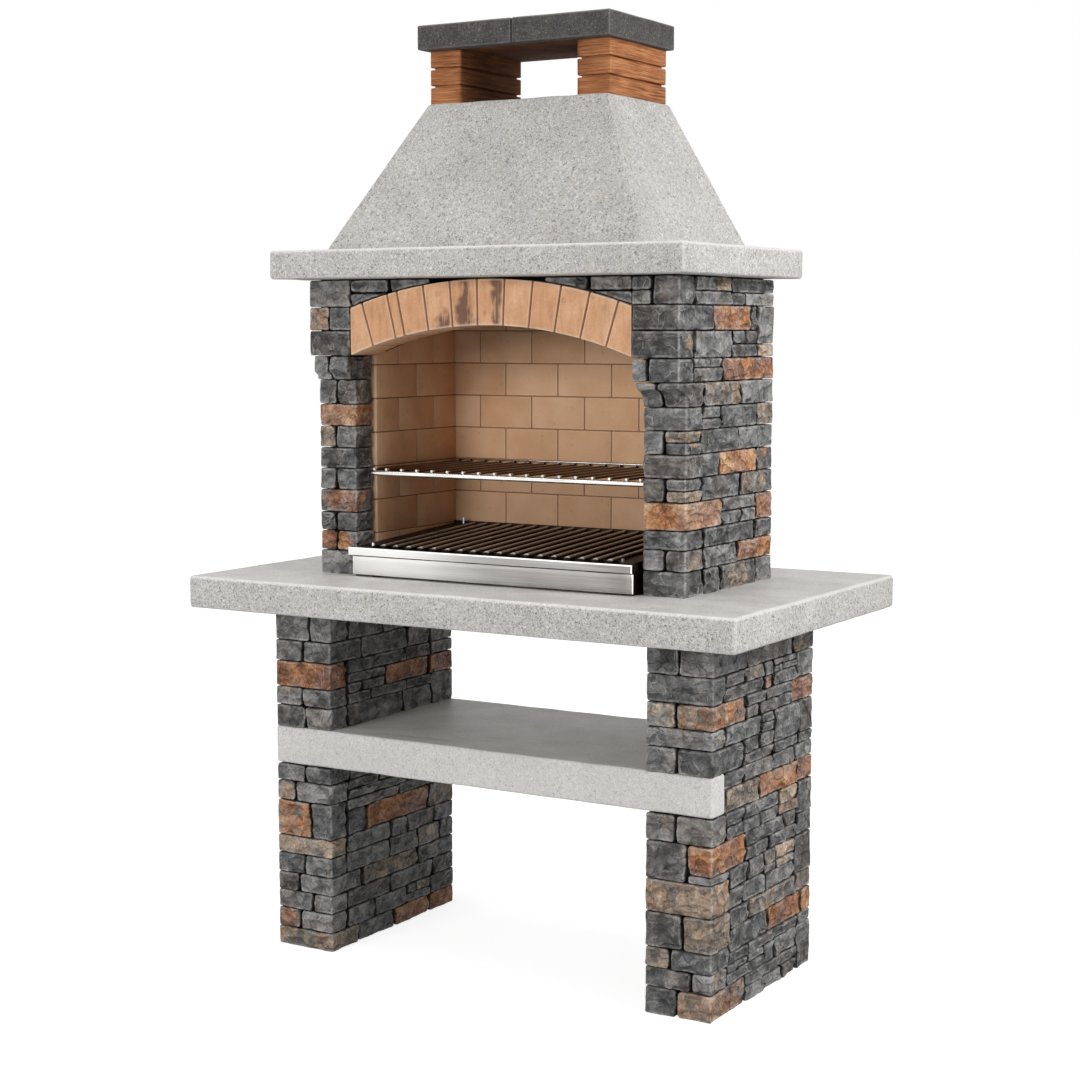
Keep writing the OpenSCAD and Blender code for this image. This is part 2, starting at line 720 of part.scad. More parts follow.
// A block is one casting whose courses stand out round a narrower heart
module chimney_block() {
    column(block_out + [1, 1, -1, -1] * block_groove, hood_top, block_top);
    for (i = [0:block_courses - 1])
        soft_slab(block_out, hood_top + i * block_course + (i > 0 ? block_groove / 2 : 0),
            hood_top + (i + 1) * block_course - (i < block_courses - 1 ? block_groove / 2 : 0), 2, 2);
}

module left_chimney_block() {
    color(brown) left_side() chimney_block();
}

module right_chimney_block() {
    color(brown) chimney_block();
}

module soffit_plate() {
    block(-block_out[2], block_out[1], block_top, block_out[2], block_out[3], block_top + soffit_thickness);
}

module cap_soffit() {
    color(brown) soffit_plate();
}

module cap_half() {
    difference() {
        soft_slab([1, cap_out[1], cap_out[2], cap_out[3]], block_top, block_top + cap_thickness, 3, 3);
        soffit_plate();
    }
}

module left_cap() {
    color(charcoal) left_side() cap_half();
}

module right_cap() {
    color(charcoal) cap_half();
}

// Steel insert: side plates and a rear plate stand on the worktop and carry the trough and the grate
module grate_frame() {
    color(steel) {
        both_sides() {
            block(frame_half - sheet, frame_front, worktop_height, frame_half, frame_back, trough_under);
            block(flange_in, frame_front, trough_under - sheet, frame_half - sheet, frame_back - sheet,
                trough_under);
            block(flange_in, trough_out[3] + 1, trough_under, frame_half, frame_back, grate_seat);
        }
        block(sheet - frame_half, frame_back - sheet, worktop_height, frame_half - sheet, frame_back,
            trough_under);
    }
}

module fat_trough() {
    top = worktop_height + trough_top;
    color(steel) difference() {
        union() {
            column(trough_out, trough_under, top);
            block(trough_out[0], trough_out[1], top - trough_height, trough_out[2],
                trough_out[1] + sheet, top);
        }
        block(trough_out[0] + sheet, trough_out[1] + 2 * sheet, trough_under + sheet,
            trough_out[2] - sheet, trough_out[3] - sheet, top + 1);
        block(trough_out[0] - 1, trough_out[3] - sheet - 1, top - 4, trough_out[2] + 1,
            trough_out[3] + 1, top + 1);
    }
}

module ash_pan() {
    color(steel) difference() {
        block(-pan_half, pan_front + sheet, pan_floor, pan_half, pan_back, pan_top);
        block(sheet - pan_half, pan_front + 2 * sheet, pan_floor + sheet, pan_half - sheet,
            pan_back - sheet, pan_top + 1);
    }
}

module ash_pan_front() {
    color(steel) block(trough_out[0] + 3, pan_front, pan_floor + 3, trough_out[2] - 3, pan_front + sheet,
        trough_under - sheet - 4);
}

module ash_pan_skids() {
    color(dark_steel) both_sides()
        block(pan_half - 60, pan_front + 3 * sheet, worktop_height, pan_half - 60 + skid_width,
            pan_back - sheet, pan_floor);
}

// Fire grate: sloping round bars let into two cross rails between wedge-shaped side rails, with a
// sloping border outside each side rail and an upstand along the back
module grate_rod(x) {
    length = grate_back - grate_front;
    translate([x, grate_front, grate_low]) rotate([grate_slope - 90, 0, 0])
        cylinder(d = grate_bar_d, h = length);
}

module grate_rods() {
    step = grate_spread / (grate_bars - 1);
    for (i = [0:grate_bars - 1]) grate_rod(-grate_spread / 2 + i * step);
}

module fire_grate_bars() {
    color(dark_steel) grate_rods();
}

module fire_grate_rails() {
    half = grate_width / 2;
    run = grate_back - grate_front;
    color(dark_steel) {
        both_sides() translate([half - grate_rail, 0, 0]) rotate([90, 0, 90]) linear_extrude(grate_rail)
            polygon([[grate_front, grate_seat], [grate_back, grate_seat],
                [grate_back, grate_low + grate_rise], [grate_front, grate_low]]);
        both_sides() translate([half, 0, 0]) rotate([90, 0, 90]) linear_extrude(grate_border - half)
            polygon([[grate_front, grate_low - 3], [grate_back, grate_low + grate_rise - 3],
                [grate_back, grate_low + grate_rise], [grate_front, grate_low]]);
        block(-grate_border, grate_back, grate_seat, grate_border, grate_back + 3,
            grate_low + grate_rise + 6);
        difference() {
            for (t = [0.06, 0.92]) {
                y = grate_front + t * run;
                block(grate_rail - half, y, grate_seat, half - grate_rail, y + grate_rail,
                    grate_low + t * grate_rise - 1);
            }
            grate_rods();
        }
    }
}

module fire_grate_pegs() {
    x = (grate_width - grate_rail) / 2;
    end = 7 * tan(grate_slope);
    color(steel) both_sides() {
        translate([x, grate_front + 7, grate_low + end]) grate_peg(7);
        translate([x, grate_back - 7, grate_low + grate_rise - end]) grate_peg(14);
    }
}

module grate_peg(height) {
    difference() {
        cylinder(d = peg_d, h = height);
        translate([-peg_d, 0, 0]) rotate([grate_slope, 0, 0]) translate([0, -peg_d, -peg_d])
            cube([2 * peg_d, 2 * peg_d, peg_d]);
    }
}

// Cooking grill: thin rods on a thick front rail, under a thin rear rail. The outer rods slide on two
// angle ledges fixed to the lining, and the front rail stays in front of the ledges.
module grill_ledges() {
    top = rod_z - grill_rod_d / 2;
    color(dark_steel) both_sides() {
        block(lining_face - ledge_width, lining_front, top - ledge_sheet, lining_face, lining_back, top);
        block(lining_face - ledge_sheet, lining_front, top - ledge_leg, lining_face, lining_back,
            top - ledge_sheet);
    }
}

module cross_rail(y, z, d) {
    translate([-side_rod_x - 8, y, z]) rotate([0, 90, 0]) cylinder(d = d, h = 2 * side_rod_x + 16);
}

module grill_rails() {
    color(steel) {
        cross_rail(grill_front, grill_z, grill_rail_d);
        cross_rail(grill_back, rear_rail_z, grill_rear_d);
    }
}

module grill_rod(x) {
    translate([x, grill_front - 5, rod_z]) rotate([-90, 0, 0])
        cylinder(d = grill_rod_d, h = grill_back - grill_front + 9);
}

module grill_rods() {
    step = grill_rod_spread / (grill_rods - 1);
    color(steel) {
        for (i = [0:grill_rods - 1]) grill_rod(-grill_rod_spread / 2 + i * step);
        both_sides() grill_rod(side_rod_x);
    }
}

left_leg_core();
right_leg_core();
left_leg_stones();
right_leg_stones();
shelf_slab();
worktop_slab();
left_wall_core();
right_wall_core();
left_wall_stones();
right_wall_stones();
left_corbel_stones();
right_corbel_stones();
back_panel();
left_lining();
right_lining();
back_lining();
arch_lintel();
arch_voussoirs();
spandrel_stones();
mantel_slab();
hood();
left_chimney_block();
right_chimney_block();
cap_soffit();
left_cap();
right_cap();
grate_frame();
fat_trough();
ash_pan();
ash_pan_front();
ash_pan_skids();
fire_grate_rails();
fire_grate_bars();
fire_grate_pegs();
grill_ledges();
grill_rails();
grill_rods();
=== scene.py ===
"""Masonry barbecue: the looks of every piece, in the order in which a mason puts them together."""
import math

import bpy
import numpy as np
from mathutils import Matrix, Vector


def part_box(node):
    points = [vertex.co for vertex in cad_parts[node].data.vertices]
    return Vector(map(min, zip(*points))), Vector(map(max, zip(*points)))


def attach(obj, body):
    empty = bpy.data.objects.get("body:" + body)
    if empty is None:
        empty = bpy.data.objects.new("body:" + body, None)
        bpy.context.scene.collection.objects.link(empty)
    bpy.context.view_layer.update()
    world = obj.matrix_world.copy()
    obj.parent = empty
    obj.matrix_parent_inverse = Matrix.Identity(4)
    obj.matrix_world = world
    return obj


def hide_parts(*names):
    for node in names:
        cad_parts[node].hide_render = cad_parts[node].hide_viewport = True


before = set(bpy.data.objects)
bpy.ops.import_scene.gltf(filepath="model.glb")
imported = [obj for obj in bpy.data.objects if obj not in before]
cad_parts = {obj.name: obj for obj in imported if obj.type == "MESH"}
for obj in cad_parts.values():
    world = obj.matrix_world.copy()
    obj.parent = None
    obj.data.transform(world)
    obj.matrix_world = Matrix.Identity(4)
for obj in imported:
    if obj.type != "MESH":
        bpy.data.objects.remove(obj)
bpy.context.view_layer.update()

# The barbecue is seen from its front right, a little above the height of its fire. It stands on plain
# white paper that runs out of sight, under soft boxes from the right, from the front and from above.
camera = bpy.data.objects.new("viewpoint", bpy.data.cameras.new("viewpoint"))
camera.data.lens = 68.657
camera.data.sensor_width = 36
camera.location = (2.4479, -4.1039, 1.4684)
camera.rotation_euler = (math.radians(84.1943), 0, math.radians(30.863))
bpy.context.scene.collection.objects.link(camera)
bpy.context.scene.camera = camera
bpy.context.scene.view_settings.view_transform = "Standard"


def plug(tree, socket, value):
    """Set an input to a plain value, or link it to another node's output."""
    if isinstance(value, bpy.types.NodeSocket):
        tree.links.new(value, socket)
    else:
        socket.default_value = value


def node(tree, kind, inputs=None, **settings):
    """Add a shader node. An input is given by its name or number, as a value or as another node's output."""
    made = tree.nodes.new("ShaderNode" + kind)
    for name, value in settings.items():
        setattr(made, name, value)
    for name, value in (inputs or {}).items():
        plug(tree, made.inputs[name], value)
    return made


def sum_of(tree, operation, first, second):
    """Two values put together by one operation."""
    return node(tree, "Math", {0: first, 1: second}, operation=operation).outputs[0]


def span(tree, value, low, high, start=0.0, end=1.0, curve="LINEAR"):
    """A value stretched so that low becomes start and high becomes end, and held there beyond them."""
    limits = {"Value": value, "From Min": low, "From Max": high, "To Min": start, "To Max": end}
    return node(tree, "MapRange", limits, interpolation_type=curve).outputs[0]


def paint(red, green, blue):
    """A colour, 0 to 255, turned into the linear light that the shaders use."""
    shares = [c / 255 for c in (red, green, blue)]
    return tuple(c / 12.92 if c < 0.04045 else ((c + 0.055) / 1.055) ** 2.4 for c in shares) + (1,)


def finish_named(name):
    """A new material that is still plain. Returns it, its tree and the place on the piece."""
    material = bpy.data.materials.new(name)
    material.use_nodes = True
    tree = material.node_tree
    return material, tree, node(tree, "TexCoord").outputs["Object"]


def dress(tree, colour, rough, relief=None, specular=0.5, metal=0.0):
    """Finish a material. Its relief is (height, strength, depth in metres)."""
    surface = tree.nodes["Principled BSDF"]
    if relief:
        height, strength, depth = relief
        bump = node(tree, "Bump", {"Height": height, "Strength": strength, "Distance": depth})
        tree.links.new(bump.outputs["Normal"], surface.inputs["Normal"])
    for name, value in (("Base Color", colour), ("Roughness", rough), ("Specular IOR Level", specular),
                        ("Metallic", metal)):
        plug(tree, surface.inputs[name], value)


def looked_at(tree):
    """1 for what the camera sees, straight or in a mirror, and 0 for the light that it throws on things."""
    ray = node(tree, "LightPath").outputs
    return sum_of(tree, "MAXIMUM", ray["Is Camera Ray"], ray["Is Glossy Ray"])


paper, tree, place = finish_named("white_paper")
dress(tree, paint(188, 188, 188), 0.9)
away = node(tree, "VectorMath", {0: place}, operation="LENGTH").outputs["Value"]
glow = node(tree, "Emission", {"Color": (1, 1, 1, 1), "Strength": span(tree, away, 0.8, 4.0, 0.8, 0.96)})
dark = node(tree, "Emission", {"Strength": 0.0})
lifted = node(tree, "MixShader", {"Fac": looked_at(tree), 1: dark.outputs[0], 2: glow.outputs[0]})
summed = node(tree, "AddShader", {0: tree.nodes["Principled BSDF"].outputs[0], 1: lifted.outputs[0]})
tree.links.new(summed.outputs[0], tree.nodes["Material Output"].inputs["Surface"])
floor_mesh = bpy.data.meshes.new("floor")
floor_mesh.from_pydata([(-30, -30, 0), (30, -30, 0), (30, 30, 0), (-30, 30, 0)], [], [(0, 1, 2, 3)])
floor_mesh.materials.append(paper)
floor = bpy.data.objects.new("floor", floor_mesh)
bpy.context.scene.collection.objects.link(floor)

world = bpy.data.worlds.new("studio")
bpy.context.scene.world = world
world.use_nodes = True
tree = world.node_tree
around = node(tree, "Background", {"Color": (0.97, 0.985, 1, 1), "Strength": 0.22})
white = node(tree, "Background", {"Color": (1, 1, 1, 1), "Strength": 1.0})
chosen = node(tree, "MixShader", {"Fac": looked_at(tree), 1: around.outputs[0], 2: white.outputs[0]})
tree.links.new(chosen.outputs[0], tree.nodes["World Output"].inputs["Surface"])


def soft_lamp(name, place, size, power):
    """A square soft box at a place, turned to the middle of the barbecue, 1 m above the floor."""
    lamp = bpy.data.lights.new(name, "AREA")
    lamp.size = size
    lamp.energy = power
    holder = bpy.data.objects.new(name, lamp)
    holder.location = place
    x, y, z = place
    holder.rotation_euler = (math.atan2(math.hypot(x, y), z - 1), 0, math.atan2(x, -y))
    bpy.context.scene.collection.objects.link(holder)


soft_lamp("key_lamp", (4.3, -0.2, 3.4), 2.2, 172)
soft_lamp("front_lamp", (-0.9, -5.7, 2.3), 2.0, 158)
soft_lamp("overhead_lamp", (-1.9, -0.5, 5.2), 3.0, 70)

# The cores are rough concrete cast between the facings, and the mortar that shows in the open joints.
# They stand in the dark behind the stones, so their grain is coarse, and their colour is painted nearly black
# as shade.


def noise(tree, place, scale, detail=2.0, **more):
    """Cloudy noise from 0 to 1. more names its other inputs, such as Roughness or Distortion."""
    inputs = {"Vector": place, "Scale": scale, "Detail": detail, **more}
    return node(tree, "TexNoise", inputs).outputs["Fac"]


def ramp(tree, value, *stops):
    """Colours along a value. Each stop is its position and the factors of red, green and blue."""
    made = node(tree, "ValToRGB", {"Fac": value})
    for k, stop in enumerate(stops):
        mark = made.color_ramp.elements[k] if k < 2 else made.color_ramp.elements.new(stop[0])
        mark.position = stop[0]
        mark.color = stop[1:] + (1,)
    return made.outputs["Color"]


def tones(tree, value, *stops):
    """A ramp whose colours are given 0 to 255."""
    return ramp(tree, value, *[stop[:1] + paint(*stop[1:])[:3] for stop in stops])


# Painted shade: the cores and the open joints are drawn nearly black.
mortar, tree, place = finish_named("mortar_bed")
grit = noise(tree, place, 240.0, 4.0)
dress(tree, tones(tree, grit, (0.3, 24, 22, 21), (0.75, 52, 48, 45)), 0.95, (grit, 0.6, 0.002))


def clad(names, material):
    """Give CAD nodes that keep their own shape a finish."""
    for name in names:
        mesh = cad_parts[name].data
        mesh.materials.clear()
        mesh.materials.append(material)


clad(["left_leg_core", "right_leg_core", "left_wall_core", "right_wall_core", "arch_lintel"], mortar)

# The legs are faced with coursed split slate, about 20 mm thick, bedded on the core with raked
# joints. Each stone has a cleft face, broken edges and its own colour: most are grey, some rust.


def solids_in(name):
    """The corner points of each separate solid in a CAD node, in mm.

    Equal points get one number, and every triangle hands the lowest of its numbers on to its corners
    until nothing changes, so that each solid ends with a number of its own.
    """
    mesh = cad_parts[name].data
    spots = np.empty(len(mesh.vertices) * 3)
    mesh.vertices.foreach_get("co", spots)
    spots, number = np.unique(np.round(spots.reshape(-1, 3) * 1000, 2), axis=0, return_inverse=True)
    mesh.calc_loop_triangles()
    corners = np.empty(len(mesh.loop_triangles) * 3, dtype=np.int32)
    mesh.loop_triangles.foreach_get("vertices", corners)
    corners = number.reshape(-1)[corners].reshape(-1, 3)
    label = np.arange(len(spots))
    while True:
        lowest = np.broadcast_to(label[corners].min(axis=1)[:, None], corners.shape)
        handed = label.copy()
        np.minimum.at(handed, corners, lowest)
        if np.array_equal(handed, label):
            return [spots[label == k] for k in np.unique(label)]
        label = handed


def grid_faces(rows, columns, around_rows=False, around_columns=False):
    """Four-sided faces of a grid of points, and the loops that close its open ends.

    Face i, j joins points (i, j), (i + 1, j), (i + 1, j + 1) and (i, j + 1), counted round where the grid
    is closed. A grid that is closed one way only is a tube, and its two end loops are its caps.
    """
    index = np.arange(rows * columns).reshape(rows, columns)
    if around_rows:
        index = np.vstack([index, index[:1]])
    if around_columns:
        index = np.hstack([index, index[:, :1]])
    faces = np.stack([index[:-1, :-1], index[1:, :-1], index[1:, 1:], index[:-1, 1:]], axis=-1).reshape(-1, 4)
    caps = []
    if around_columns and not around_rows:
        caps = [index[0, :-1], index[-1, :-1][::-1]]
    if around_rows and not around_columns:
        caps = [index[:-1, 0][::-1], index[:-1, -1]]
    return faces, caps


def lay_mesh(name, material, shells, nodes, body="masonry", crease=35):
    """One piece from many shells, in place of the CAD nodes named.

    A shell is (points in mm, faces, caps, measures per point).
    """
    start = 0
    points, faces, caps, measures = [], [], [], {}
    for spots, quads, ends, marks in shells:
        points.append(spots.reshape(-1, 3))
        faces.append(quads + start)
        caps += [end + start for end in ends]
        for key, value in marks.items():
            measures.setdefault(key, []).append(np.broadcast_to(value, spots.shape[:-1]).reshape(-1))
        start += points[-1].shape[0]
    points = np.concatenate(points) / 1000
    faces = np.concatenate(faces)
    corners = np.concatenate([faces.reshape(-1)] + caps).astype(np.int32)
    sizes = np.concatenate([np.full(len(faces), 4), [len(end) for end in caps]])
    starts = np.concatenate([[0], np.cumsum(sizes)[:-1]]).astype(np.int32)
    mesh = bpy.data.meshes.new(name)
    mesh.vertices.add(len(points))
    mesh.vertices.foreach_set("co", points.reshape(-1))
    mesh.loops.add(len(corners))
    mesh.loops.foreach_set("vertex_index", corners)
    mesh.polygons.add(len(starts))
    mesh.polygons.foreach_set("loop_start", starts)
    mesh.update(calc_edges=True)
    mesh.polygons.foreach_set("use_smooth", np.ones(len(starts), dtype=bool))
    mesh.set_sharp_from_angle(angle=math.radians(crease))
    for key, value in measures.items():
        mark = mesh.attributes.new(key, "FLOAT", "POINT")
        mark.data.foreach_set("value", np.concatenate(value).astype(np.float32))
    mesh.materials.append(material)
    piece = bpy.data.objects.new(name, mesh)
    bpy.context.scene.collection.objects.link(piece)
    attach(piece, body)
    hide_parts(*nodes)


def ripple(along, rng, longest, height):
    """A gentle uneven line: four sine waves, each shorter and lower than the last, with chance phases."""
    waves = np.arange(4)
    length = longest / 1.9 ** waves
    phase = rng.uniform(0, 2 * math.pi, 4)
    lift = height * 0.6 ** waves * rng.uniform(0.5, 1, 4)
    return (lift * np.sin(2 * math.pi * np.asarray(along)[..., None] / length + phase)).sum(axis=-1)


def quarter(distance, radius):
    """How far a rounded edge falls back at a distance from the end: a quarter circle of that radius."""
    short = np.clip(1 - distance / radius, 0, 1)
    return radius * (1 - np.sqrt(1 - short ** 2))


def step_up(value, low, high):
    """0 below low, 1 above high, and a smooth S between them."""
    share = np.clip((value - low) / (high - low), 0, 1)
    return share * share * (3 - 2 * share)


def cleft_face(along, up, length, height, rng):
    """Height of a split stone face, and a mask of its ridges.

    Shallow bowls, each a paraboloid stretched along the bed, are cut by taking the lowest of them at
    every point, so that they meet in sharp ridges. Smaller and deeper bowls sit on the upper and lower
    edges, where the hammer has bitten chips out. A wavy ledge, where a layer has flaked off, and a
    slight tilt are added.
    """
    count = max(3, int(length * height / 720))
    bites = max(1, int(length / 36))
    at_edge = np.where(rng.uniform(0, 1, bites) < 0.6, -4.0, height + 4.0)
    centre_along = np.concatenate([rng.uniform(-8, length + 8, count), rng.uniform(0, length, bites)])
    centre_up = np.concatenate([rng.uniform(0, height, count), at_edge])
    wide = np.concatenate([rng.uniform(18, 46, count), rng.uniform(17, 30, bites)])
    lift = np.concatenate([rng.uniform(0, 2.2, count), rng.uniform(-3.2, -0.6, bites)])
    bowls = ((along[..., None] - centre_along) / 1.5) ** 2 + (up[..., None] - centre_up) ** 2
    bowls = np.sort(bowls / (2 * wide) + lift, axis=-1)
    face = bowls[..., 0]
    ridge = np.exp(-(bowls[..., 1] - bowls[..., 0]) / 0.35)
    if rng.uniform(0, 1) < (height - 20) / 40:
        level = height * rng.uniform(0.3, 0.6) + ripple(along, rng, 90, 3.2)
        level = level + rng.uniform(-0.05, 0.05) * along
        reach = step_up(ripple(along, rng, 1.6 * length + 60, 1.0), -0.7, 0.1)
        side = rng.choice([-1, 1], p=[0.25, 0.75]) * rng.uniform(1.6, 3.4)
        face = face + side * reach * (step_up(up - level, -1.6, 1.6) - 0.5)
        ridge = np.maximum(ridge, reach * np.exp(-((up - level - np.sign(side) * 2.6) / 1.6) ** 2))
    tilt = rng.uniform(-0.014, 0.014) * (along - length / 2) + rng.uniform(-0.05, 0.05) * (up - height / 2)
    face = face + tilt + ripple(along + 0.7 * up, rng, 60, 0.35)
    return np.clip(face - face.mean(), -5.5, 3.0), ridge


def walk(path, turn, pace):
    """Places and outward directions along a plan path whose corners are rounded by quarter circles.

    The path runs with the outside on its right hand. Places are a pace apart, closer at both ends and
    round the corners.
    """
    path = np.asarray(path, dtype=float)
    ways = np.diff(path, axis=0)
    ways /= np.linalg.norm(ways, axis=1)[:, None]
    outward = np.stack([ways[:, 1], -ways[:, 0]], axis=1)
    spots, facing = [path[:1]], [outward[:1]]
    arc = np.linspace(0, math.pi / 2, 6)[:, None]
    for k in range(1, len(ways)):
        lean = np.cos(arc) * outward[k - 1] + np.sin(arc) * outward[k]
        spots.append(path[k] - turn * (outward[k - 1] + outward[k]) + turn * lean)
        facing.append(lean)
    spots = np.concatenate(spots + [path[-1:]])
    facing = np.concatenate(facing + [outward[-1:]])
    run = np.concatenate([[0], np.cumsum(np.linalg.norm(np.diff(spots, axis=0), axis=1))])
    total = run[-1]
    close = np.array([0, 0.5, 1.6, 3.4, 6.0, 9.5]) * min(1, total / 24)
    even = np.linspace(close[-1], total - close[-1], max(2, round((total - 2 * close[-1]) / pace) + 1))
    places = np.sort(np.concatenate([close[:-1], even, total - close[:-1][::-1], run[1:-1]]))
    places = places[np.concatenate([[True], np.diff(places) > 0.3])]
    places[-1] = total
    blend = [np.interp(places, run, values[:, k]) for values in (spots, facing) for k in (0, 1)]
    facing = np.stack(blend[2:], axis=1)
    return places, np.stack(blend[:2], axis=1), facing / np.linalg.norm(facing, axis=1)[:, None]


def facing_stone(path, plan, low, high, rng, depth=20, under=None, pace=6.5, rise=3.6):
    """One stone as a closed shell: a profile from its back round its face, carried along the path.

    The profile runs from the bed's back edge over a rounded lower edge, up the cleft face and over the
    upper edge. Towards both ends it shrinks along a quarter circle, which rounds the stone's outline.
    plan is the whole wall's outline, which the back never crosses. under gives the underside's height
    for each place where it isn't level.
    """
    height = high - low
    path = np.array(path, dtype=float)
    for end, nearby in ((0, 1), (-1, -2)):
        path[end] += 0.4 * (path[nearby] - path[end]) / np.linalg.norm(path[nearby] - path[end])
    places, spots, facing = walk(path, 6, pace)
    total = places[-1]
    off_end = np.minimum(places, total - places)
    outline = min(8.0, 0.28 * height, 0.3 * total) * rng.uniform(0.7, 1.3)
    edge = min(3.4, 0.2 * height) * rng.uniform(0.8, 1.2)
    shrink = quarter(off_end, outline)
    fall = quarter(off_end, 1.6 * edge)
    turned = np.minimum(abs(facing[:, :1]), abs(facing[:, 1:])) / 0.7
    at_corner = places[turned[:, 0] > 0.8]
    off_corner = np.full(len(places), 99.0)
    if len(at_corner):
        off_corner = abs(places[:, None] - at_corner).min(axis=1)
    calm = (1 - 0.8 * np.exp(-off_corner / 10))[:, None]
    bottom = np.full(len(places), low) if under is None else under(spots)
    bottom = np.maximum(bottom + shrink + ripple(places, rng, 70, 0.4) + rng.uniform(-0.3, 0.4), 0.0)
    top = high - shrink + ripple(places, rng, 70, 0.4) - rng.uniform(-0.3, 0.4)
    round_off = np.minimum(edge, 0.45 * (top - bottom))
    bend = np.sin(np.linspace(0, math.pi / 2, 4))
    level = 1 - np.cos(np.linspace(0, math.pi / 2, 4))
    count = max(3, round(height / rise))
    inner = np.linspace(0, 1, count + 2)[1:-1]
    share = np.concatenate([np.zeros(6), inner, np.ones(6)])
    climb = np.concatenate([[0, 0], level, 1 - 2 * inner, -level[::-1], [0, 0]])
    back = np.concatenate([[0, 0], 1 - bend, np.zeros(count), 1 - bend[::-1], [0, 0]])
    deep = np.zeros(len(share))
    deep[[0, -1]] = depth
    deep[[1, -2]] = 0.62 * min(depth, 20)
    window = np.concatenate([[0, 0], bend, np.ones(count), bend[::-1], [0, 0]])
    up = bottom[:, None] + (top - bottom)[:, None] * share + round_off[:, None] * climb
    inward = deep + np.where(deep > 0, 0, fall[:, None] + round_off[:, None] * back)
    along = np.broadcast_to(places[:, None], up.shape)
    face, ridge = cleft_face(along, up - low, total, height, rng)
    window = np.maximum(window, 0.45 * (deep == 0)) * (1 - fall / edge * 0.5)[:, None]
    face = (face + rng.uniform(-1.0, 1.4)) * window * calm
    lean = rng.uniform(-0.07, 0.07, 2)
    slide = lean[0] * np.exp(-places / 14)[:, None] + lean[1] * np.exp(-(total - places) / 14)[:, None]
    slide = slide * (up - (low + high) / 2)
    near = np.minimum(inward, 5.0) - face
    plan_x = spots[:, :1] - facing[:, :1] * near - facing[:, 1:] * slide
    plan_y = spots[:, 1:] - facing[:, 1:] * near + facing[:, :1] * slide
    sunk = np.where(inward > 5, inward, -50)
    plan_x = np.clip(plan_x, plan[0] + sunk, plan[2] - sunk)
    plan_y = np.clip(plan_y, plan[1] + sunk, plan[3] - sunk)
    points = np.stack([plan_x, plan_y, up], axis=-1)
    faces, caps = grid_faces(*up.shape, around_columns=True)
    rim = np.minimum(np.minimum(up - bottom[:, None], top[:, None] - up), off_end[:, None])
    # Painted shade in the joints: the sunk mark is 1 where the stone's sides fall back into a joint, and
    # along its ends, in a wider band on the flanks.
    painted_end_shade = 1 - step_up(off_end - 1.6 * abs(facing[:, 0]), 0.5, 2.3)[:, None]
    marks = {
        "rim": np.maximum(np.exp(-((rim - 3.0) / 1.8) ** 2), turned * (deep == 0)),
        "sunk": np.maximum(step_up(inward, 0.6 * edge, 1.25 * edge), painted_end_shade),
        "ridge": ridge * window,
        # Painted shade: relief makes the colour lighter where the face stands proud and darker in its
        # hollows.
        "relief": np.clip(0.5 + face / 8, 0, 1),
        "tone": rng.uniform(0, 1),
        "rust": np.zeros(up.shape),
        "tan": np.zeros(up.shape),
    }
    return points, faces, caps, marks


def stone_path(solid, plan):
    """The run of wall faces that a stone lies on, as a plan path counter-clockwise round the wall."""
    x0, y0, x1, y1 = plan
    touching = [abs(solid[:, 1] - y0) < 0.6, abs(solid[:, 0] - x1) < 0.6, abs(solid[:, 1] - y1) < 0.6,
                abs(solid[:, 0] - x0) < 0.6]
    corner = [(x1, y0), (x1, y1), (x0, y1), (x0, y0)]
    spans = []
    for k, mask in enumerate(touching):
        values = solid[mask][:, k % 2]
        wide = len(values) > 3 and np.ptp(values) > 21.5
        spans.append((values.min(), values.max()) if wide else None)
    runs = [k for k in range(4) if spans[k]]
    first = next(k for k in runs if (k - 1) % 4 not in runs)
    fixed = [y0, x1, y1, x0]
    ends = []
    for k, start in ((first, True), ((first + len(runs) - 1) % 4, False)):
        low, high = spans[k]
        value = low if (k < 2) == start else high
        ends.append((value, fixed[k]) if k % 2 == 0 else (fixed[k], value))
    return [ends[0]] + [corner[(first + k) % 4] for k in range(len(runs) - 1)] + [ends[1]]


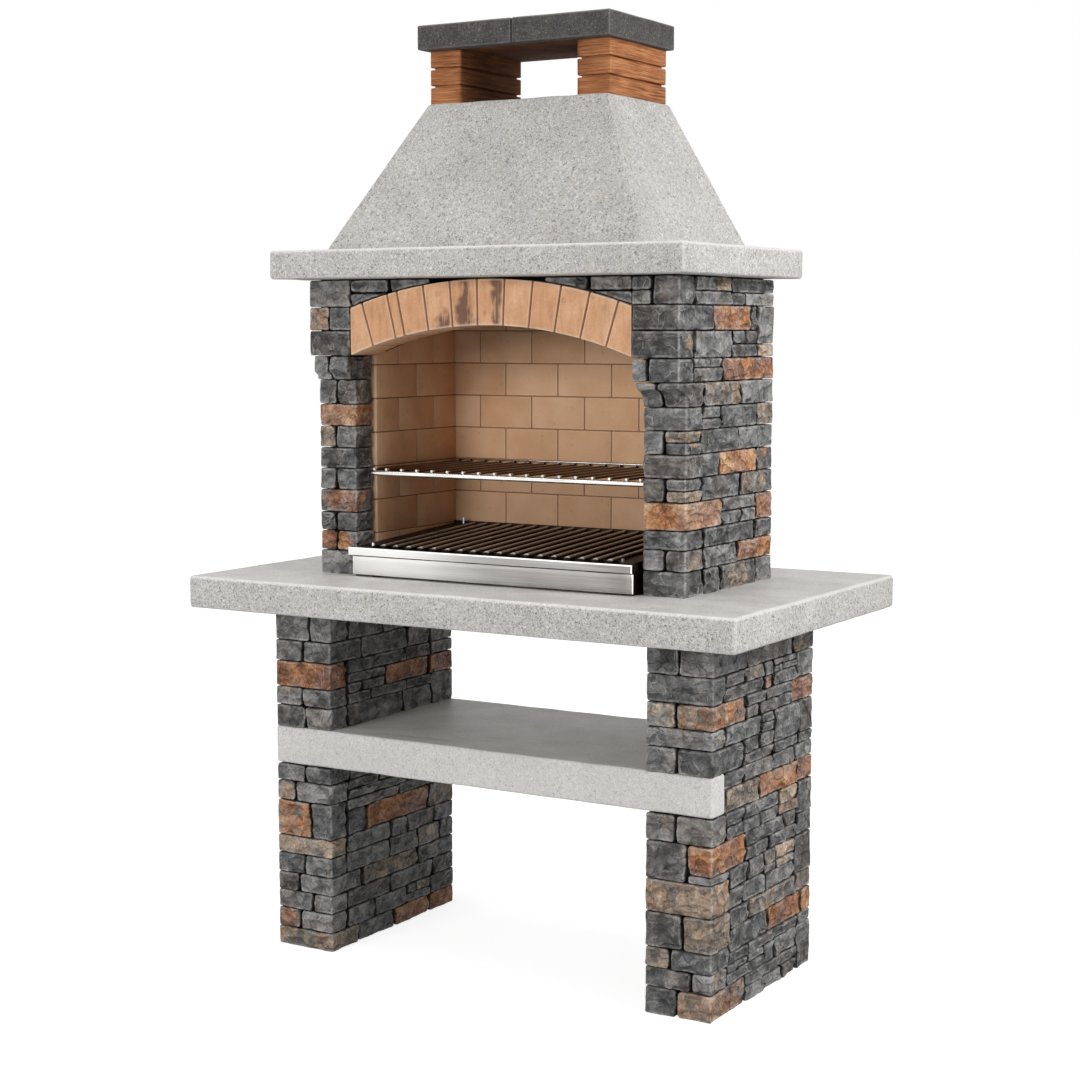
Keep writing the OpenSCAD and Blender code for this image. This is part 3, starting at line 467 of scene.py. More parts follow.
# Each tint is a point on a stone in mm, how far it spreads from there, and how rusty and how tan it
# is. A spread of 0 takes in the whole stone.
leg_tints = [
    (578, -186, 658, 0, 0.36, 1.0), (578, 195, 647, 0, 0.9, 0), (578, 73, 476, 0, 1, 0),
    (578, 215, 476, 0, 1, 0), (578, -183, 350, 0, 0.7, 0.2), (578, 108, 160, 0, 1, 0),
    (578, 229, 160, 0, 1, 0), (578, -181, 30, 0, 0.34, 1.0),
    (578, -225, 189, 0, 0.15, 0.85), (578, 48, 207, 0, 0, 0.5), (578, 219, 207, 0, 0, 0.65),
    (578, 113, 300, 0, 0.1, 0.8), (578, 28, 288, 38, 0.1, 0.9), (578, 105, 274, 45, 0.2, 0.7),
    (578, 123, 435, 0, 0.2, 1), (578, 123, 405, 0, 0.2, 1), (578, -118, 475, 0, 0, 0.65),
    (578, 14, 702, 0, 0.5, 0.6), (578, -60, 732, 50, 0.1, 0.7), (578, 194, 765, 0, 0.05, 0.75),
    (578, -240, 612, 20, 0, 0.7), (578, -227, 90, 30, 0, 0.7), (578, 138, 50, 45, 0, 0.5),
    (-418, 67, 28, 0, 0.8, 0), (-418, 196, 28, 0, 0.7, 0), (-418, 10, 300, 0, 0.9, 0),
    (-418, 58, 635, 0, 0.6, 0.2),
    (-418, 202, 635, 0, 0.75, 0), (-418, -25, 160, 0, 0.1, 0.65), (-418, 170, 185, 0, 0.1, 0.5),
    (-418, 195, 300, 0, 0, 0.5), (-418, -236, 248, 0, 0.1, 0.7), (-418, 98, 78, 0, 0, 0.5),
    (-498, -267, 22, 0, 0.2, 0.75), (-547, -267, 70, 30, 0.7, 0.2), (-498, -267, 248, 0, 0.1, 0.65),
    (-529, -267, 313, 0, 0.5, 0.4), (-552, -267, 380, 26, 0.2, 0.7), (-539, -267, 618, 24, 0.1, 0.6),
    (-498, -267, 662, 0, 0.75, 0.3), (447, -267, 131, 0, 0.1, 0.6), (498, -267, 266, 0, 0.3, 1.0),
    (455, -267, 412, 0, 0, 0.35), (455, -267, 656, 0, 0.1, 0.5),
]


def tint(shells, boxes, tints, shown, rng):
    """Colour the stones: the shown ones by the list, and one in three of the others by chance."""
    low = np.array([b[0] for b in boxes])
    high = np.array([b[1] for b in boxes])
    for x, y, z, spread, rust, tan in tints:
        spot = np.array([x, y, z])
        inside = np.where(((spot > low - 4) & (spot < high + 4)).all(axis=1))[0]
        for k in inside[:1]:
            points, _, _, marks = shells[k]
            near = 1 if spread == 0 else np.exp(-(np.linalg.norm(points - spot, axis=-1) / spread) ** 2)
            marks["rust"] = np.maximum(marks["rust"], rust * near)
            marks["tan"] = np.maximum(marks["tan"], tan * near)
    for k, (points, _, _, marks) in enumerate(shells):
        chance = rng.uniform(0, 1, 3)
        if not shown(low[k], high[k]) and chance[0] < 0.34:
            marks["rust" if chance[1] < 0.5 else "tan"] += 0.55 + 0.45 * chance[2]


def face_stones(name, plans, tints, shown, seed, pace=6.5):
    """All stones of one CAD node. plans is a list of (height up to which it holds, plan)."""
    rng = np.random.default_rng(seed)
    shells, boxes = [], []
    for solid in solids_in(name):
        low, high = solid.min(axis=0), solid.max(axis=0)
        plan = next(p for top, p in plans if (low[2] + high[2]) / 2 < top)
        run = stone_path(solid, plan)
        foot, head = max(low[2] - 1, 0), high[2] + 1
        shells.append(facing_stone(run, plan, foot, head, rng, pace=pace, rise=0.56 * pace))
        boxes.append((low, high))
    tint(shells, boxes, tints, shown, rng)
    return shells


def measure(tree, name):
    """A number that was stored with the mesh."""
    return node(tree, "Attribute", attribute_name=name).outputs["Fac"]


def times(tree, first, second):
    """The product of two values."""
    return sum_of(tree, "MULTIPLY", first, second)


def times_plus(tree, value, factor, added):
    """The product of two values, plus a third."""
    return node(tree, "Math", {0: value, 1: factor, 2: added}, operation="MULTIPLY_ADD").outputs[0]


def mixed(tree, share, first, second, blend="MIX"):
    """Two colours mixed by a share."""
    made = node(tree, "Mix", {"Factor": share, 6: first, 7: second}, data_type="RGBA", blend_type=blend)
    return made.outputs[2]


def tinted(tree, colour, share, strength, *tint):
    """A colour drawn towards a tint, 0 to 255, by a share times a strength."""
    return mixed(tree, times(tree, share, strength), colour, paint(*tint))


def shaded(tree, colour, value, *stops):
    """A colour multiplied by a ramp along a value."""
    return mixed(tree, 1.0, colour, ramp(tree, value, *stops), "MULTIPLY")


def stretched(tree, place, scale):
    """Places scaled along each axis, which draws a pattern out or packs it."""
    return node(tree, "Mapping", {"Vector": place, "Scale": scale}).outputs["Vector"]


def stirred(tree, place, scale, detail, reach):
    """Places pushed along each axis by cloudy noise, up to a reach in metres."""
    push = node(tree, "TexNoise", {"Vector": place, "Scale": scale, "Detail": detail}).outputs["Color"]
    return node(tree, "VectorMath", {0: push, 1: reach, 2: place}, operation="MULTIPLY_ADD").outputs[0]


slate, tree, place = finish_named("split_slate")
own = times(tree, measure(tree, "tone"), 40.0)
apart = node(tree, "CombineXYZ", {0: own, 1: own, 2: own}).outputs[0]
beds = node(tree, "VectorMath", {0: place, 1: apart}, operation="ADD").outputs[0]
cloud = noise(tree, beds, 24.0, 4.0, Roughness=0.55)
fine = noise(tree, beds, 170.0, 3.0, Roughness=0.6)
wavy = stretched(tree, stirred(tree, beds, 16.0, 2.0, (0.045, 0.045, 0.045)), (1, 1, 1.25))
flakes = {"Vector": wavy, "Scale": 38.0, "Randomness": 0.9}
flake = node(tree, "TexVoronoi", flakes)
flake_edge = node(tree, "TexVoronoi", flakes, feature="DISTANCE_TO_EDGE").outputs["Distance"]
chip = node(tree, "TexVoronoi", {"Vector": wavy, "Scale": 95.0, "Randomness": 1.0}).outputs["Distance"]
gate = noise(tree, beds, 30.0, 1.0)
line = span(tree, flake_edge, 0.0, 0.05, 1.0, 0.0, "SMOOTHSTEP")
pale_line = times(tree, line, span(tree, gate, 0.48, 0.6))
# The dark lines are a painted shadow along some flake edges, as under a flaked ledge.
dark_line = times(tree, line, span(tree, gate, 0.47, 0.38))

by_flake = node(tree, "SeparateColor", {0: flake.outputs["Color"]}).outputs[0]
shade = times_plus(tree, by_flake, 0.22, cloud)
shade = times_plus(tree, measure(tree, "tone"), 0.3, shade)
# The relief term is painted shade: lighter on the proud parts of the face, darker in its hollows.
shade = times_plus(tree, measure(tree, "relief"), 0.2, shade)
grey = tones(tree, sum_of(tree, "SUBTRACT", shade, 0.35),
             (0.25, 66, 66, 66), (0.5, 107, 107, 107), (0.8, 158, 157, 156))
warm = span(tree, noise(tree, beds, 7.0, 1.0), 0.5, 0.68, 0.0, 0.6)
grey = mixed(tree, warm, grey, paint(255, 236, 216), "MULTIPLY")
mottle = times_plus(tree, fine, 0.3, sum_of(tree, "SUBTRACT", shade, 0.5))
orange = tones(tree, mottle,
               (0.26, 118, 80, 56), (0.46, 174, 114, 72), (0.66, 200, 144, 98), (0.9, 222, 182, 142))
plum = tones(tree, mottle,
             (0.26, 108, 80, 70), (0.46, 154, 110, 90), (0.68, 176, 138, 114), (0.9, 202, 172, 148))
rust = mixed(tree, span(tree, noise(tree, beds, 9.0, 1.0), 0.42, 0.6), orange, plum)
tan = tones(tree, mottle, (0.22, 98, 93, 88), (0.5, 156, 137, 118), (0.85, 208, 184, 158))
vein = sum_of(tree, "SUBTRACT", noise(tree, beds, 26.0, 2.0, Distortion=1.2), 0.5)


def patchy(name, contrast, low, high):
    """A stored share broken up by the veins, so that a colour ends in ragged patches."""
    return span(tree, times_plus(tree, vein, contrast, measure(tree, name)), low, high)


colour = mixed(tree, patchy("tan", 2.2, 0.35, 0.7), grey, tan)
colour = mixed(tree, patchy("rust", 1.1, 0.25, 0.55), colour, rust)
pale_edge = sum_of(tree, "MAXIMUM", times(tree, measure(tree, "ridge"), 0.55), measure(tree, "rim"))
pale_edge = times(tree, pale_edge, span(tree, gate, 0.36, 0.6))
pale_edge = sum_of(tree, "MAXIMUM", pale_edge, pale_line)
pale = mixed(tree, 0.55, colour, paint(220, 218, 214))
colour = mixed(tree, times(tree, pale_edge, 0.8), colour, pale)
colour = shaded(tree, colour, fine, (0.3, 0.72, 0.72, 0.72), (0.7, 1.28, 1.28, 1.28))
# Painted shadow along the dark lines.
colour = tinted(tree, colour, dark_line, 0.6, 32, 30, 29)
# Painted shade: the stone is drawn nearly black where it falls back into its joints.
colour = tinted(tree, colour, measure(tree, "sunk"), 0.86, 20, 19, 18)
hollow = times(tree, flake.outputs["Distance"], flake.outputs["Distance"])
hollow = sum_of(tree, "ADD", hollow, times(tree, times(tree, chip, chip), 0.2))
hollow = times_plus(tree, fine, 0.07, hollow)
hollow = times_plus(tree, dark_line, -0.12, hollow)
dress(tree, colour, 0.72, (hollow, 1.0, 0.02), 0.4)


def mirrored(plan, side):
    """A plan (x0, y0, x1, y1) on the right, or its mirror image on the left."""
    return plan if side == "right" else [-plan[2], plan[1], -plan[0], plan[3]]


for side, seed in (("left", 11), ("right", 12)):
    plan = mirrored([418, -267, 578, 255], side)

    def in_view(low, high):
        return high[0] > plan[2] - 1 and low[0] < plan[2] + 1 or low[1] < plan[1] + 1

    stones = face_stones(side + "_leg_stones", [(2000, plan)], leg_tints, in_view, seed, 8.2)
    lay_mesh(side + "_leg_slate", slate, stones, [side + "_leg_stones"])

# The shelf and the worktop are cast concrete slabs, dropped on and between the legs. Their edges show
# the pitted skin of the mould, and their trowelled tops are smoother and a little lighter.


def pattern(name, numbers, outputs):
    """An empty node group that takes a place and the numbers named, and gives numbers."""
    group = bpy.data.node_groups.new(name, "ShaderNodeTree")
    group.interface.new_socket(name="Vector", in_out="INPUT", socket_type="NodeSocketVector")
    for title, value in numbers.items():
        socket = group.interface.new_socket(name=title, in_out="INPUT", socket_type="NodeSocketFloat")
        socket.default_value = value
    for title in outputs:
        group.interface.new_socket(name=title, in_out="OUTPUT", socket_type="NodeSocketFloat")
    return group, group.nodes.new("NodeGroupInput").outputs, group.nodes.new("NodeGroupOutput").inputs


def use(tree, group, inputs):
    """Place a node group in a material with its own values."""
    made = tree.nodes.new("ShaderNodeGroup")
    made.node_tree = group
    for name, value in inputs.items():
        plug(tree, made.inputs[name], value)
    return made.outputs


# Cast grain: twisted specks of light and dark, small round pits, and slow clouds. Upright is 1 on
# sides and undersides, and 0 on faces that look up.
cast_grain, given, result = pattern(
    "cast_grain", {"Speck scale": 170.0, "Pit scale": 95.0, "Cloud scale": 9.0},
    ["Speck", "Pit", "Cloud", "Upright"])
specks = noise(cast_grain, given["Vector"], given["Speck scale"], 3.0, Roughness=0.6, Distortion=1.8)
clouds = noise(cast_grain, given["Vector"], given["Cloud scale"], 4.0)
pits = node(cast_grain, "TexVoronoi", {"Vector": given["Vector"], "Scale": given["Pit scale"]}).outputs
kept = node(cast_grain, "SeparateColor", {0: pits["Color"]}).outputs[0]
size = span(cast_grain, kept, 0.55, 1.0, 0.0, 0.34)
pit = span(cast_grain, sum_of(cast_grain, "SUBTRACT", size, pits["Distance"]), 0.0, 0.1)
tilt = node(cast_grain, "SeparateXYZ", {0: node(cast_grain, "NewGeometry").outputs["Normal"]})
upright = span(cast_grain, tilt.outputs["Z"], 0.75, 0.95, 1.0, 0.0)
for target, source in (("Speck", specks), ("Pit", pit), ("Cloud", clouds), ("Upright", upright)):
    cast_grain.links.new(source, result[target])

concrete, tree, place = finish_named("cast_concrete")
grain = use(tree, cast_grain, {"Vector": place})
strength = times_plus(tree, grain["Upright"], 0.58, 0.4)
side_tone = tones(tree, grain["Speck"],
                  (0.34, 128, 126, 123), (0.45, 192, 190, 186), (0.57, 214, 212, 208), (0.68, 238, 236, 233))
flat_tone = tones(tree, grain["Cloud"], (0.3, 200, 198, 194), (0.7, 216, 214, 210))
colour = mixed(tree, strength, flat_tone, side_tone)
colour = shaded(tree, colour, grain["Cloud"], (0.3, 0.9, 0.9, 0.9), (0.7, 1.05, 1.05, 1.05))
# Painted shade: the hood's concrete is drawn a little darker all over, and darker still where its mark is 1.
colour = mixed(tree, measure(tree, "sooty"), colour, (0.88, 0.875, 0.87, 1), "MULTIPLY")
earthy = span(tree, noise(tree, place, 60.0, 1.0), 0.6, 0.74, 0.0, 0.3)
colour = tinted(tree, colour, earthy, strength, 188, 172, 146)
pitted = times(tree, grain["Pit"], strength)
colour = tinted(tree, colour, pitted, 0.6, 112, 108, 104)
# Pale arrises: rubbed wear, and a painted highlight strongest along the top edges.
colour = tinted(tree, colour, measure(tree, "arris"), 0.55, 246, 244, 241)
skin = sum_of(tree, "SUBTRACT", times(tree, grain["Speck"], strength), pitted)
polish = times_plus(tree, grain["Upright"], 0.35, 0.5)
dress(tree, colour, polish, (skin, 0.5, 0.0018), 0.4)


def ringed(stations, spaces=24, bends=5):
    """Rings of points round a body with a rounded rectangular plan, one ring for each station.

    A station is (x0, y0, x1, y1, corner radius, z). A ring runs counter-clockwise: a quarter circle at
    each corner, and evenly spaced points on the straight between one quarter circle's end and the next.
    """
    stations = np.asarray(stations, dtype=float)
    x0, y0, x1, y1, radius, level = [stations[:, k:k + 1] for k in range(6)]
    centre_x = np.hstack([x1 - radius, x1 - radius, x0 + radius, x0 + radius])
    centre_y = np.hstack([y0 + radius, y1 - radius, y1 - radius, y0 + radius])
    turn = np.linspace(0, math.pi / 2, bends)
    start = np.array([-math.pi / 2, 0, math.pi / 2, math.pi])
    corner = np.repeat(np.arange(4), bends + spaces - 1)
    angle = (start[:, None] + np.concatenate([turn, np.full(spaces - 1, math.pi / 2)])).reshape(-1)
    share = np.tile(np.concatenate([np.zeros(bends), np.arange(1, spaces) / spaces]), 4)
    onward = (corner + 1) % 4
    here_x = centre_x[:, corner] + radius * np.cos(angle)
    here_y = centre_y[:, corner] + radius * np.sin(angle)
    next_x = centre_x[:, onward] + radius * np.cos(start[onward])
    next_y = centre_y[:, onward] + radius * np.sin(start[onward])
    points = np.stack([here_x + share * (next_x - here_x), here_y + share * (next_y - here_y),
                       np.broadcast_to(level, here_x.shape)], axis=-1)
    return points.transpose(1, 0, 2)


def hand_made(points, rng, size, depth):
    """Move points by a smooth uneven field of twelve sine waves, about a size long and a depth high."""
    lean = rng.normal(0, 1, (12, 3))
    lean *= (2 * math.pi / size * rng.uniform(0.6, 1.8, 12) / np.linalg.norm(lean, axis=1))[:, None]
    wave = np.sin(points @ lean.T + rng.uniform(0, 2 * math.pi, 12))
    return points + wave @ rng.normal(0, depth / 3.5, (12, 3))


def slab_shell(plan, low, high, edge, corner, rng, hole=None, spaces=30):
    """A slab as rings from its underside round its edge to its top, or on round and down a hole."""
    arc = np.linspace(0, math.pi / 2, 5)
    x0, y0, x1, y1 = plan
    low_arc = [(edge * (1 - math.sin(a)), low + edge * (1 - math.cos(a))) for a in arc]
    middle = [(0, low + edge + (high - low - 2 * edge) * t) for t in (0.25, 0.5, 0.75)]
    high_arc = [(edge * (1 - math.cos(a)), high - edge * (1 - math.sin(a))) for a in arc]
    drawn_in = low_arc + middle + high_arc
    stations = [(x0 + d, y0 + d, x1 - d, y1 - d, max(corner - d, 0.5), z) for d, z in drawn_in]
    if hole:
        stations += [tuple(hole) + (0.5, z) for z in (high, low)]
    points = ringed(stations, spaces)
    faces, caps = grid_faces(*points.shape[:2], around_rows=True, around_columns=bool(hole))
    # The arris mark lightens the rounded edges: rubbed wear, and a painted highlight that is strongest along
    # the top edge and round the upright corners.
    pale_edge = np.zeros(len(stations))
    pale_edge[1:4] = 0.35
    pale_edge[9:12] = 0.8, 1.0, 0.8
    turn = np.concatenate([np.sin(2 * arc), np.zeros(spaces - 1)])
    sides = np.isin(np.arange(len(stations)), np.arange(1, 12))
    arris = np.maximum(pale_edge, 0.5 * np.tile(turn, 4)[:, None] * sides)
    return hand_made(points, rng, 160, 0.35), faces, caps, {"arris": arris}


rng = np.random.default_rng(21)
shelf_low, shelf_top = 444, 532
shelf_ears, shelf_bay = [-578, -267, 578, -207], [-458, -255, 458, 255]
shelf = [slab_shell(plan, shelf_low, shelf_top, 6, 6, np.random.default_rng(22), spaces=50)
         for plan in (shelf_ears, shelf_bay)]
# Painted light: the arris mark is raised over the shelf's whole rounded edges and sides, which lightens them
# where the worktop shades them.
for shell in shelf:
    shell[3]["arris"] = np.maximum(shell[3]["arris"], [0.25] + 11 * [0.8] + [0.25])
lay_mesh("shelf", concrete, shelf, ["shelf_slab"])
worktop_low, worktop_top = 825, 900
worktop = slab_shell([-705, -428, 705, 428], worktop_low, worktop_top, 8, 10, rng, spaces=60)
lay_mesh("worktop", concrete, [worktop], ["worktop_slab"])

# The upper walls are faced like the legs. Near their tops two courses jut forward on a hollowed
# course, cut to a quarter round, and carry the arch and the mantel between them.
wall_tints = [
    (482, 11, 1498, 0, 0.8, 0.3), (482, 93, 1386, 0, 1, 0), (482, 47, 1182, 0, 0.9, 0.1),
    (482, 190, 1201, 16, 1.2, 0), (482, -124, 1075, 0, 0.95, 0.1), (482, 185, 1080, 0, 0.85, 0.2),
    (482, 136, 980, 0, 1, 0),
    (482, -205, 1443, 26, 0.1, 0.95), (482, 183, 1425, 0, 0.1, 0.85), (482, -35, 1335, 0, 0, 0.5),
    (482, 30, 1335, 50, 0.1, 0.9), (482, 183, 1285, 0, 0.1, 0.75), (482, -175, 1246, 0, 0.1, 0.75),
    (482, -175, 1231, 12, 1.1, 0), (482, -173, 1118, 0, 0, 0.75), (482, 75, 1131, 40, 0.1, 1),
    (482, 170, 1135, 26, 0, 0.9), (482, 50, 930, 62, 0.1, 0.75), (482, -170, 975, 40, 0.1, 0.65),
    (482, -40, 1572, 50, 0, 0.7), (-460, -211, 980, 0, 0.6, 0.4), (-418, -211, 980, 26, 0.9, 0.2),
    (-415, -211, 1075, 48, 0.9, 0.2), (-430, -211, 1175, 20, 0, 0.7), (-459, -211, 1222, 0, 0.1, 0.85),
    (-430, -211, 1274, 0, 0.9, 0), (-455, -247, 1497, 0, 0.3, 0.75), (460, -247, 1555, 0, 0, 0.12),
]


def hollowed(shell, front, foot, radius, reach, inset=0.0):
    """Cut the quarter round under the jutting courses: the front falls back by sqrt(r2 - (z - foot)2).

    The outer side is set back by the inset, which fades out over the 52 mm behind it.
    """
    points, faces, caps, marks = shell
    back = np.sqrt(np.clip(radius ** 2 - np.clip(points[..., 2] - foot, 0, radius) ** 2, 0, None))
    off = np.clip(points[..., 1] - front, None, reach)
    moved = points.copy()
    bent = front + back + off * (1 - back / reach)
    moved[..., 1] = np.where(points[..., 1] < front + reach, bent, points[..., 1])
    moved[..., 0] += inset * np.clip((-430 - points[..., 0]) / 52, 0, 1) * (points[..., 1] < -205)
    return moved, faces, caps, marks


wall_plan, corbel_plan, nib_plan = [378, -211, 482, 227], [378, -247, 482, 227], [368, -247, 482, 227]
for side, seed, course, radius, inset in (("left", 31, 55, 15, 12), ("right", 32, 53, 36, 0)):

    def in_view(low, high):
        return low[1] < -205 or side == "right" and high[0] > 481

    plans = [(2000, mirrored(wall_plan, side))]
    stones = face_stones(side + "_wall_stones", plans, wall_tints, in_view, seed)
    lay_mesh(side + "_wall_slate", slate, stones, [side + "_wall_stones"])
    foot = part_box(side + "_corbel_stones")[0][2] * 1000
    plans = [(foot + course, mirrored(corbel_plan, side)), (2000, mirrored(nib_plan, side))]
    stones = face_stones(side + "_corbel_stones", plans, wall_tints, in_view, seed + 2)
    stones = [hollowed(s, -247, foot, radius, 60, inset)
              if s[0][..., 2].max() < foot + course + 4 and s[0][..., 1].min() < -240 else s for s in stones]
    lay_mesh(side + "_corbel_slate", slate, stones, [side + "_corbel_stones"])

# A cast concrete panel stands between the two walls and closes the back of the firebox. It keeps its
# plain cast shape.
clad(["back_panel"], concrete)

# The firebox is lined with firebricks laid in running bond with thin joints. They are pressed from
# tan fireclay with soft arrises, vary a little from brick to brick, and are darker low down.


def brick_shell(low, high, rng, edge=1.6):
    """A pressed brick: level rings with rounded corners, drawn in along a quarter circle at both beds.

    Each point also keeps its distance from the nearer end and from the nearer bed, in mm.
    """
    x0, y0, z0 = low
    x1, y1, z1 = high
    arc = np.linspace(0, math.pi / 2, 4)
    rise = [(edge * (1 - math.sin(a)), edge * (1 - math.cos(a))) for a in arc]
    levels = [(d, z0 + up) for d, up in rise] + [(0, (z0 + z1) / 2)] + [(d, z1 - up) for d, up in rise[::-1]]
    points = ringed([(x0 + d, y0 + d, x1 - d, y1 - d, edge, z) for d, z in levels], spaces=2, bends=3)
    faces, caps = grid_faces(*points.shape[:2], around_rows=True)
    long_way = 0 if x1 - x0 > y1 - y0 else 1
    along = points[..., long_way]
    return points, faces, caps, {
        "tone": rng.uniform(0, 1),
        "off_end": np.minimum(along - low[long_way], high[long_way] - along),
        "off_bed": np.minimum(points[..., 2] - z0, z1 - points[..., 2]),
    }


# The joints are filled to 2 mm behind the bricks' faces with a brown fire cement.
cement, tree, place = finish_named("fire_cement")
grit = noise(tree, place, 300.0, 3.0)
dress(tree, tones(tree, grit, (0.3, 140, 102, 76), (0.7, 176, 134, 102)), 0.95, (grit, 0.5, 0.0015))
rng = np.random.default_rng(40)
mantel_low = 1586
beds = [slab_shell(plan, worktop_top + 1, mantel_low - 1, 0.5, 0.6, rng, spaces=12)
        for plan in ([-395, -138, -371.5, 199], [371.5, -138, 395, 199], [-395, 202.5, 395, 226])]
lay_mesh("firebox_pointing", cement, beds, [])

firebrick, tree, place = finish_named("firebrick")
grain = use(tree, cast_grain, {"Vector": place, "Speck scale": 420.0, "Pit scale": 60.0, "Cloud scale": 14.0})
kiln = times_plus(tree, measure(tree, "tone"), 0.3, grain["Cloud"])
colour = tones(tree, kiln, (0.35, 218, 171, 131), (0.65, 229, 185, 146), (0.95, 238, 197, 160))
colour = shaded(tree, colour, grain["Speck"], (0.3, 0.92, 0.92, 0.92), (0.7, 1.06, 1.06, 1.06))
colour = tinted(tree, colour, grain["Pit"], 0.12, 120, 84, 60)
# Painted highlight: each brick is drawn lighter within a few mm of its ends and beds.
off_edge = sum_of(tree, "MINIMUM", measure(tree, "off_end"), measure(tree, "off_bed"))
colour = mixed(tree, span(tree, off_edge, 4.0, 1.5, 0.0, 0.45), colour, paint(240, 206, 172))
# Darker towards the bottom: up to a fifth darker below 1.22 m, fully so by 0.98 m.
lift = node(tree, "SeparateXYZ", {0: place}).outputs["Z"]
colour = mixed(tree, span(tree, lift, 1.22, 0.98, 0.0, 0.2), colour, paint(96, 64, 44))
dress(tree, colour, 0.88, (grain["Speck"], 0.3, 0.001), 0.3)
rng = np.random.default_rng(41)
for name in ("left_lining", "right_lining", "back_lining"):
    bricks = [brick_shell(s.min(axis=0), s.max(axis=0), rng) for s in solids_in(name)]
    lay_mesh(name + "_bricks", firebrick, bricks, [name], crease=25)

# The arch is a ring of twelve pressed terracotta voussoirs, one cut narrow to close it, that springs
# from the corbels. Fire cement fills their joints, which point at one centre, and smoke has stained a
# few of them.
ring_inner, ring_outer, ring_centre, ring_half = 1019.0, 1121.0, 461.0, 366.0


def voussoir_shell(start, end, rng, inner=ring_inner, outer=ring_outer, half=ring_half,
                   front=-244, back=-139):
    """A wedge of the ring: a rounded block bent so that its width follows the angle, its height the radius.

    start and end are angles from the crown. No point goes past the arch's half width, where the first
    and last voussoirs stand upright against the corbels.
    """
    edge, corner = 2.6, 2.6
    depth = back - front
    arc = np.linspace(0, math.pi / 2, 4)
    near = [(edge * (1 - math.sin(a)), edge * (1 - math.cos(a))) for a in arc]
    near = [(edge + 3.5, 0)] + near + [(0, depth - 2), (2, depth)]
    stations = [(d, d, 100 - d, outer - inner - d, corner, y) for d, y in near]
    points = ringed(stations, spaces=6, bends=4)
    ring = inner + points[..., 1]
    limit = np.arcsin(half / ring)
    first = np.maximum(start, -limit)
    last = np.minimum(end, limit)
    angle = first + points[..., 0] / 100 * (last - first)
    level = ring_centre + ring * np.cos(angle)
    bent = np.stack([ring * np.sin(angle), front + points[..., 2], level], axis=-1)
    faces, caps = grid_faces(*bent.shape[:2], around_rows=True)
    # Painted highlight: the front arris of each voussoir is marked to be lighter.
    arris = np.array([0, 0.4, 0.9, 1, 0.5, 0, 0])
    return bent, faces, caps, {"tone": rng.uniform(0, 1), "arris": arris}


terracotta, tree, place = finish_named("arch_terracotta")
grain = use(tree, cast_grain, {"Vector": place, "Speck scale": 260.0, "Pit scale": 40.0, "Cloud scale": 16.0})
kiln = times_plus(tree, measure(tree, "tone"), 0.3, grain["Cloud"])
colour = tones(tree, kiln, (0.35, 214, 160, 120), (0.65, 225, 172, 131), (0.95, 236, 188, 150))
streaks = noise(tree, stretched(tree, place, (1, 1, 0.18)), 90.0, 4.0, Distortion=0.5)
colour = shaded(tree, colour, streaks, (0.3, 0.86, 0.83, 0.8), (0.52, 1, 1, 1), (0.7, 1.06, 1.06, 1.06))
lazy = sum_of(tree, "SUBTRACT", noise(tree, place, 22.0, 2.0), 0.5)
where = node(tree, "SeparateXYZ", {0: place}).outputs
across = span(tree, times_plus(tree, lazy, 0.06, where["X"]), -0.14, 0.06)


def bands(*stops):
    """A share from 0 to 1 along the arch. Each stop is its position and the share there."""
    return ramp(tree, across, *[(position, share, share, share) for position, share in stops])


upper = bands((0.3, 0), (0.36, 1), (0.46, 1), (0.52, 0), (0.76, 0), (0.81, 1), (0.86, 1), (0.93, 0))
lower = bands((0.07, 0), (0.13, 1), (0.2, 1), (0.26, 0))
lower = times(tree, lower, span(tree, where["Z"], 1.525, 1.5))
stained = sum_of(tree, "MAXIMUM", upper, lower)
stained = times(tree, stained, span(tree, streaks, 0.34, 0.5))
colour = tinted(tree, colour, stained, 0.85, 98, 70, 64)
# Painted highlight along the voussoirs' front arrises.
colour = tinted(tree, colour, measure(tree, "arris"), 0.75, 252, 228, 202)
colour = shaded(tree, colour, grain["Speck"], (0.32, 0.86, 0.85, 0.84), (0.66, 1.08, 1.08, 1.08))
colour = tinted(tree, colour, grain["Pit"], 0.2, 120, 80, 60)
dress(tree, colour, 0.8, (grain["Speck"], 0.2, 0.0008), 0.35)
rng = np.random.default_rng(51)
shares = np.ones(12)
shares[2] = 0.38
spread = math.asin(ring_half / ring_inner)
marks = -spread + 2 * spread * np.concatenate([[0], np.cumsum(shares)]) / shares.sum()
gap = 2.4 / 1070
voussoirs = [voussoir_shell(marks[k] + gap * (k > 0), marks[k + 1] - gap * (k < 11), rng) for k in range(12)]
lay_mesh("arch_ring", terracotta, voussoirs, ["arch_voussoirs"], crease=50)
joints = [voussoir_shell(a, b, rng, ring_inner + 3, ring_outer - 3, ring_half - 2, -237, -141)
          for a, b in zip(marks[:-1], marks[1:])]
lay_mesh("arch_pointing", cement, joints, [], crease=50)

# Small slates fill the two corners between the arch ring and the mantel, their undersides cut to
# the ring.
rng = np.random.default_rng(61)
shells = []
for solid in solids_in("spandrel_stones"):
    low, high = solid.min(axis=0), solid.max(axis=0)

    def underside(spots, foot=low[2]):
        return np.maximum(foot, ring_centre + np.sqrt((ring_outer + 3) ** 2 - spots[:, 0] ** 2))

    path = [(low[0], -242), (high[0], -242)]
    shells.append(facing_stone(path, [-366, -242, 366, -139], low[2], high[2], rng, 90, underside))
lay_mesh("spandrel_slate", slate, shells, ["spandrel_stones"])

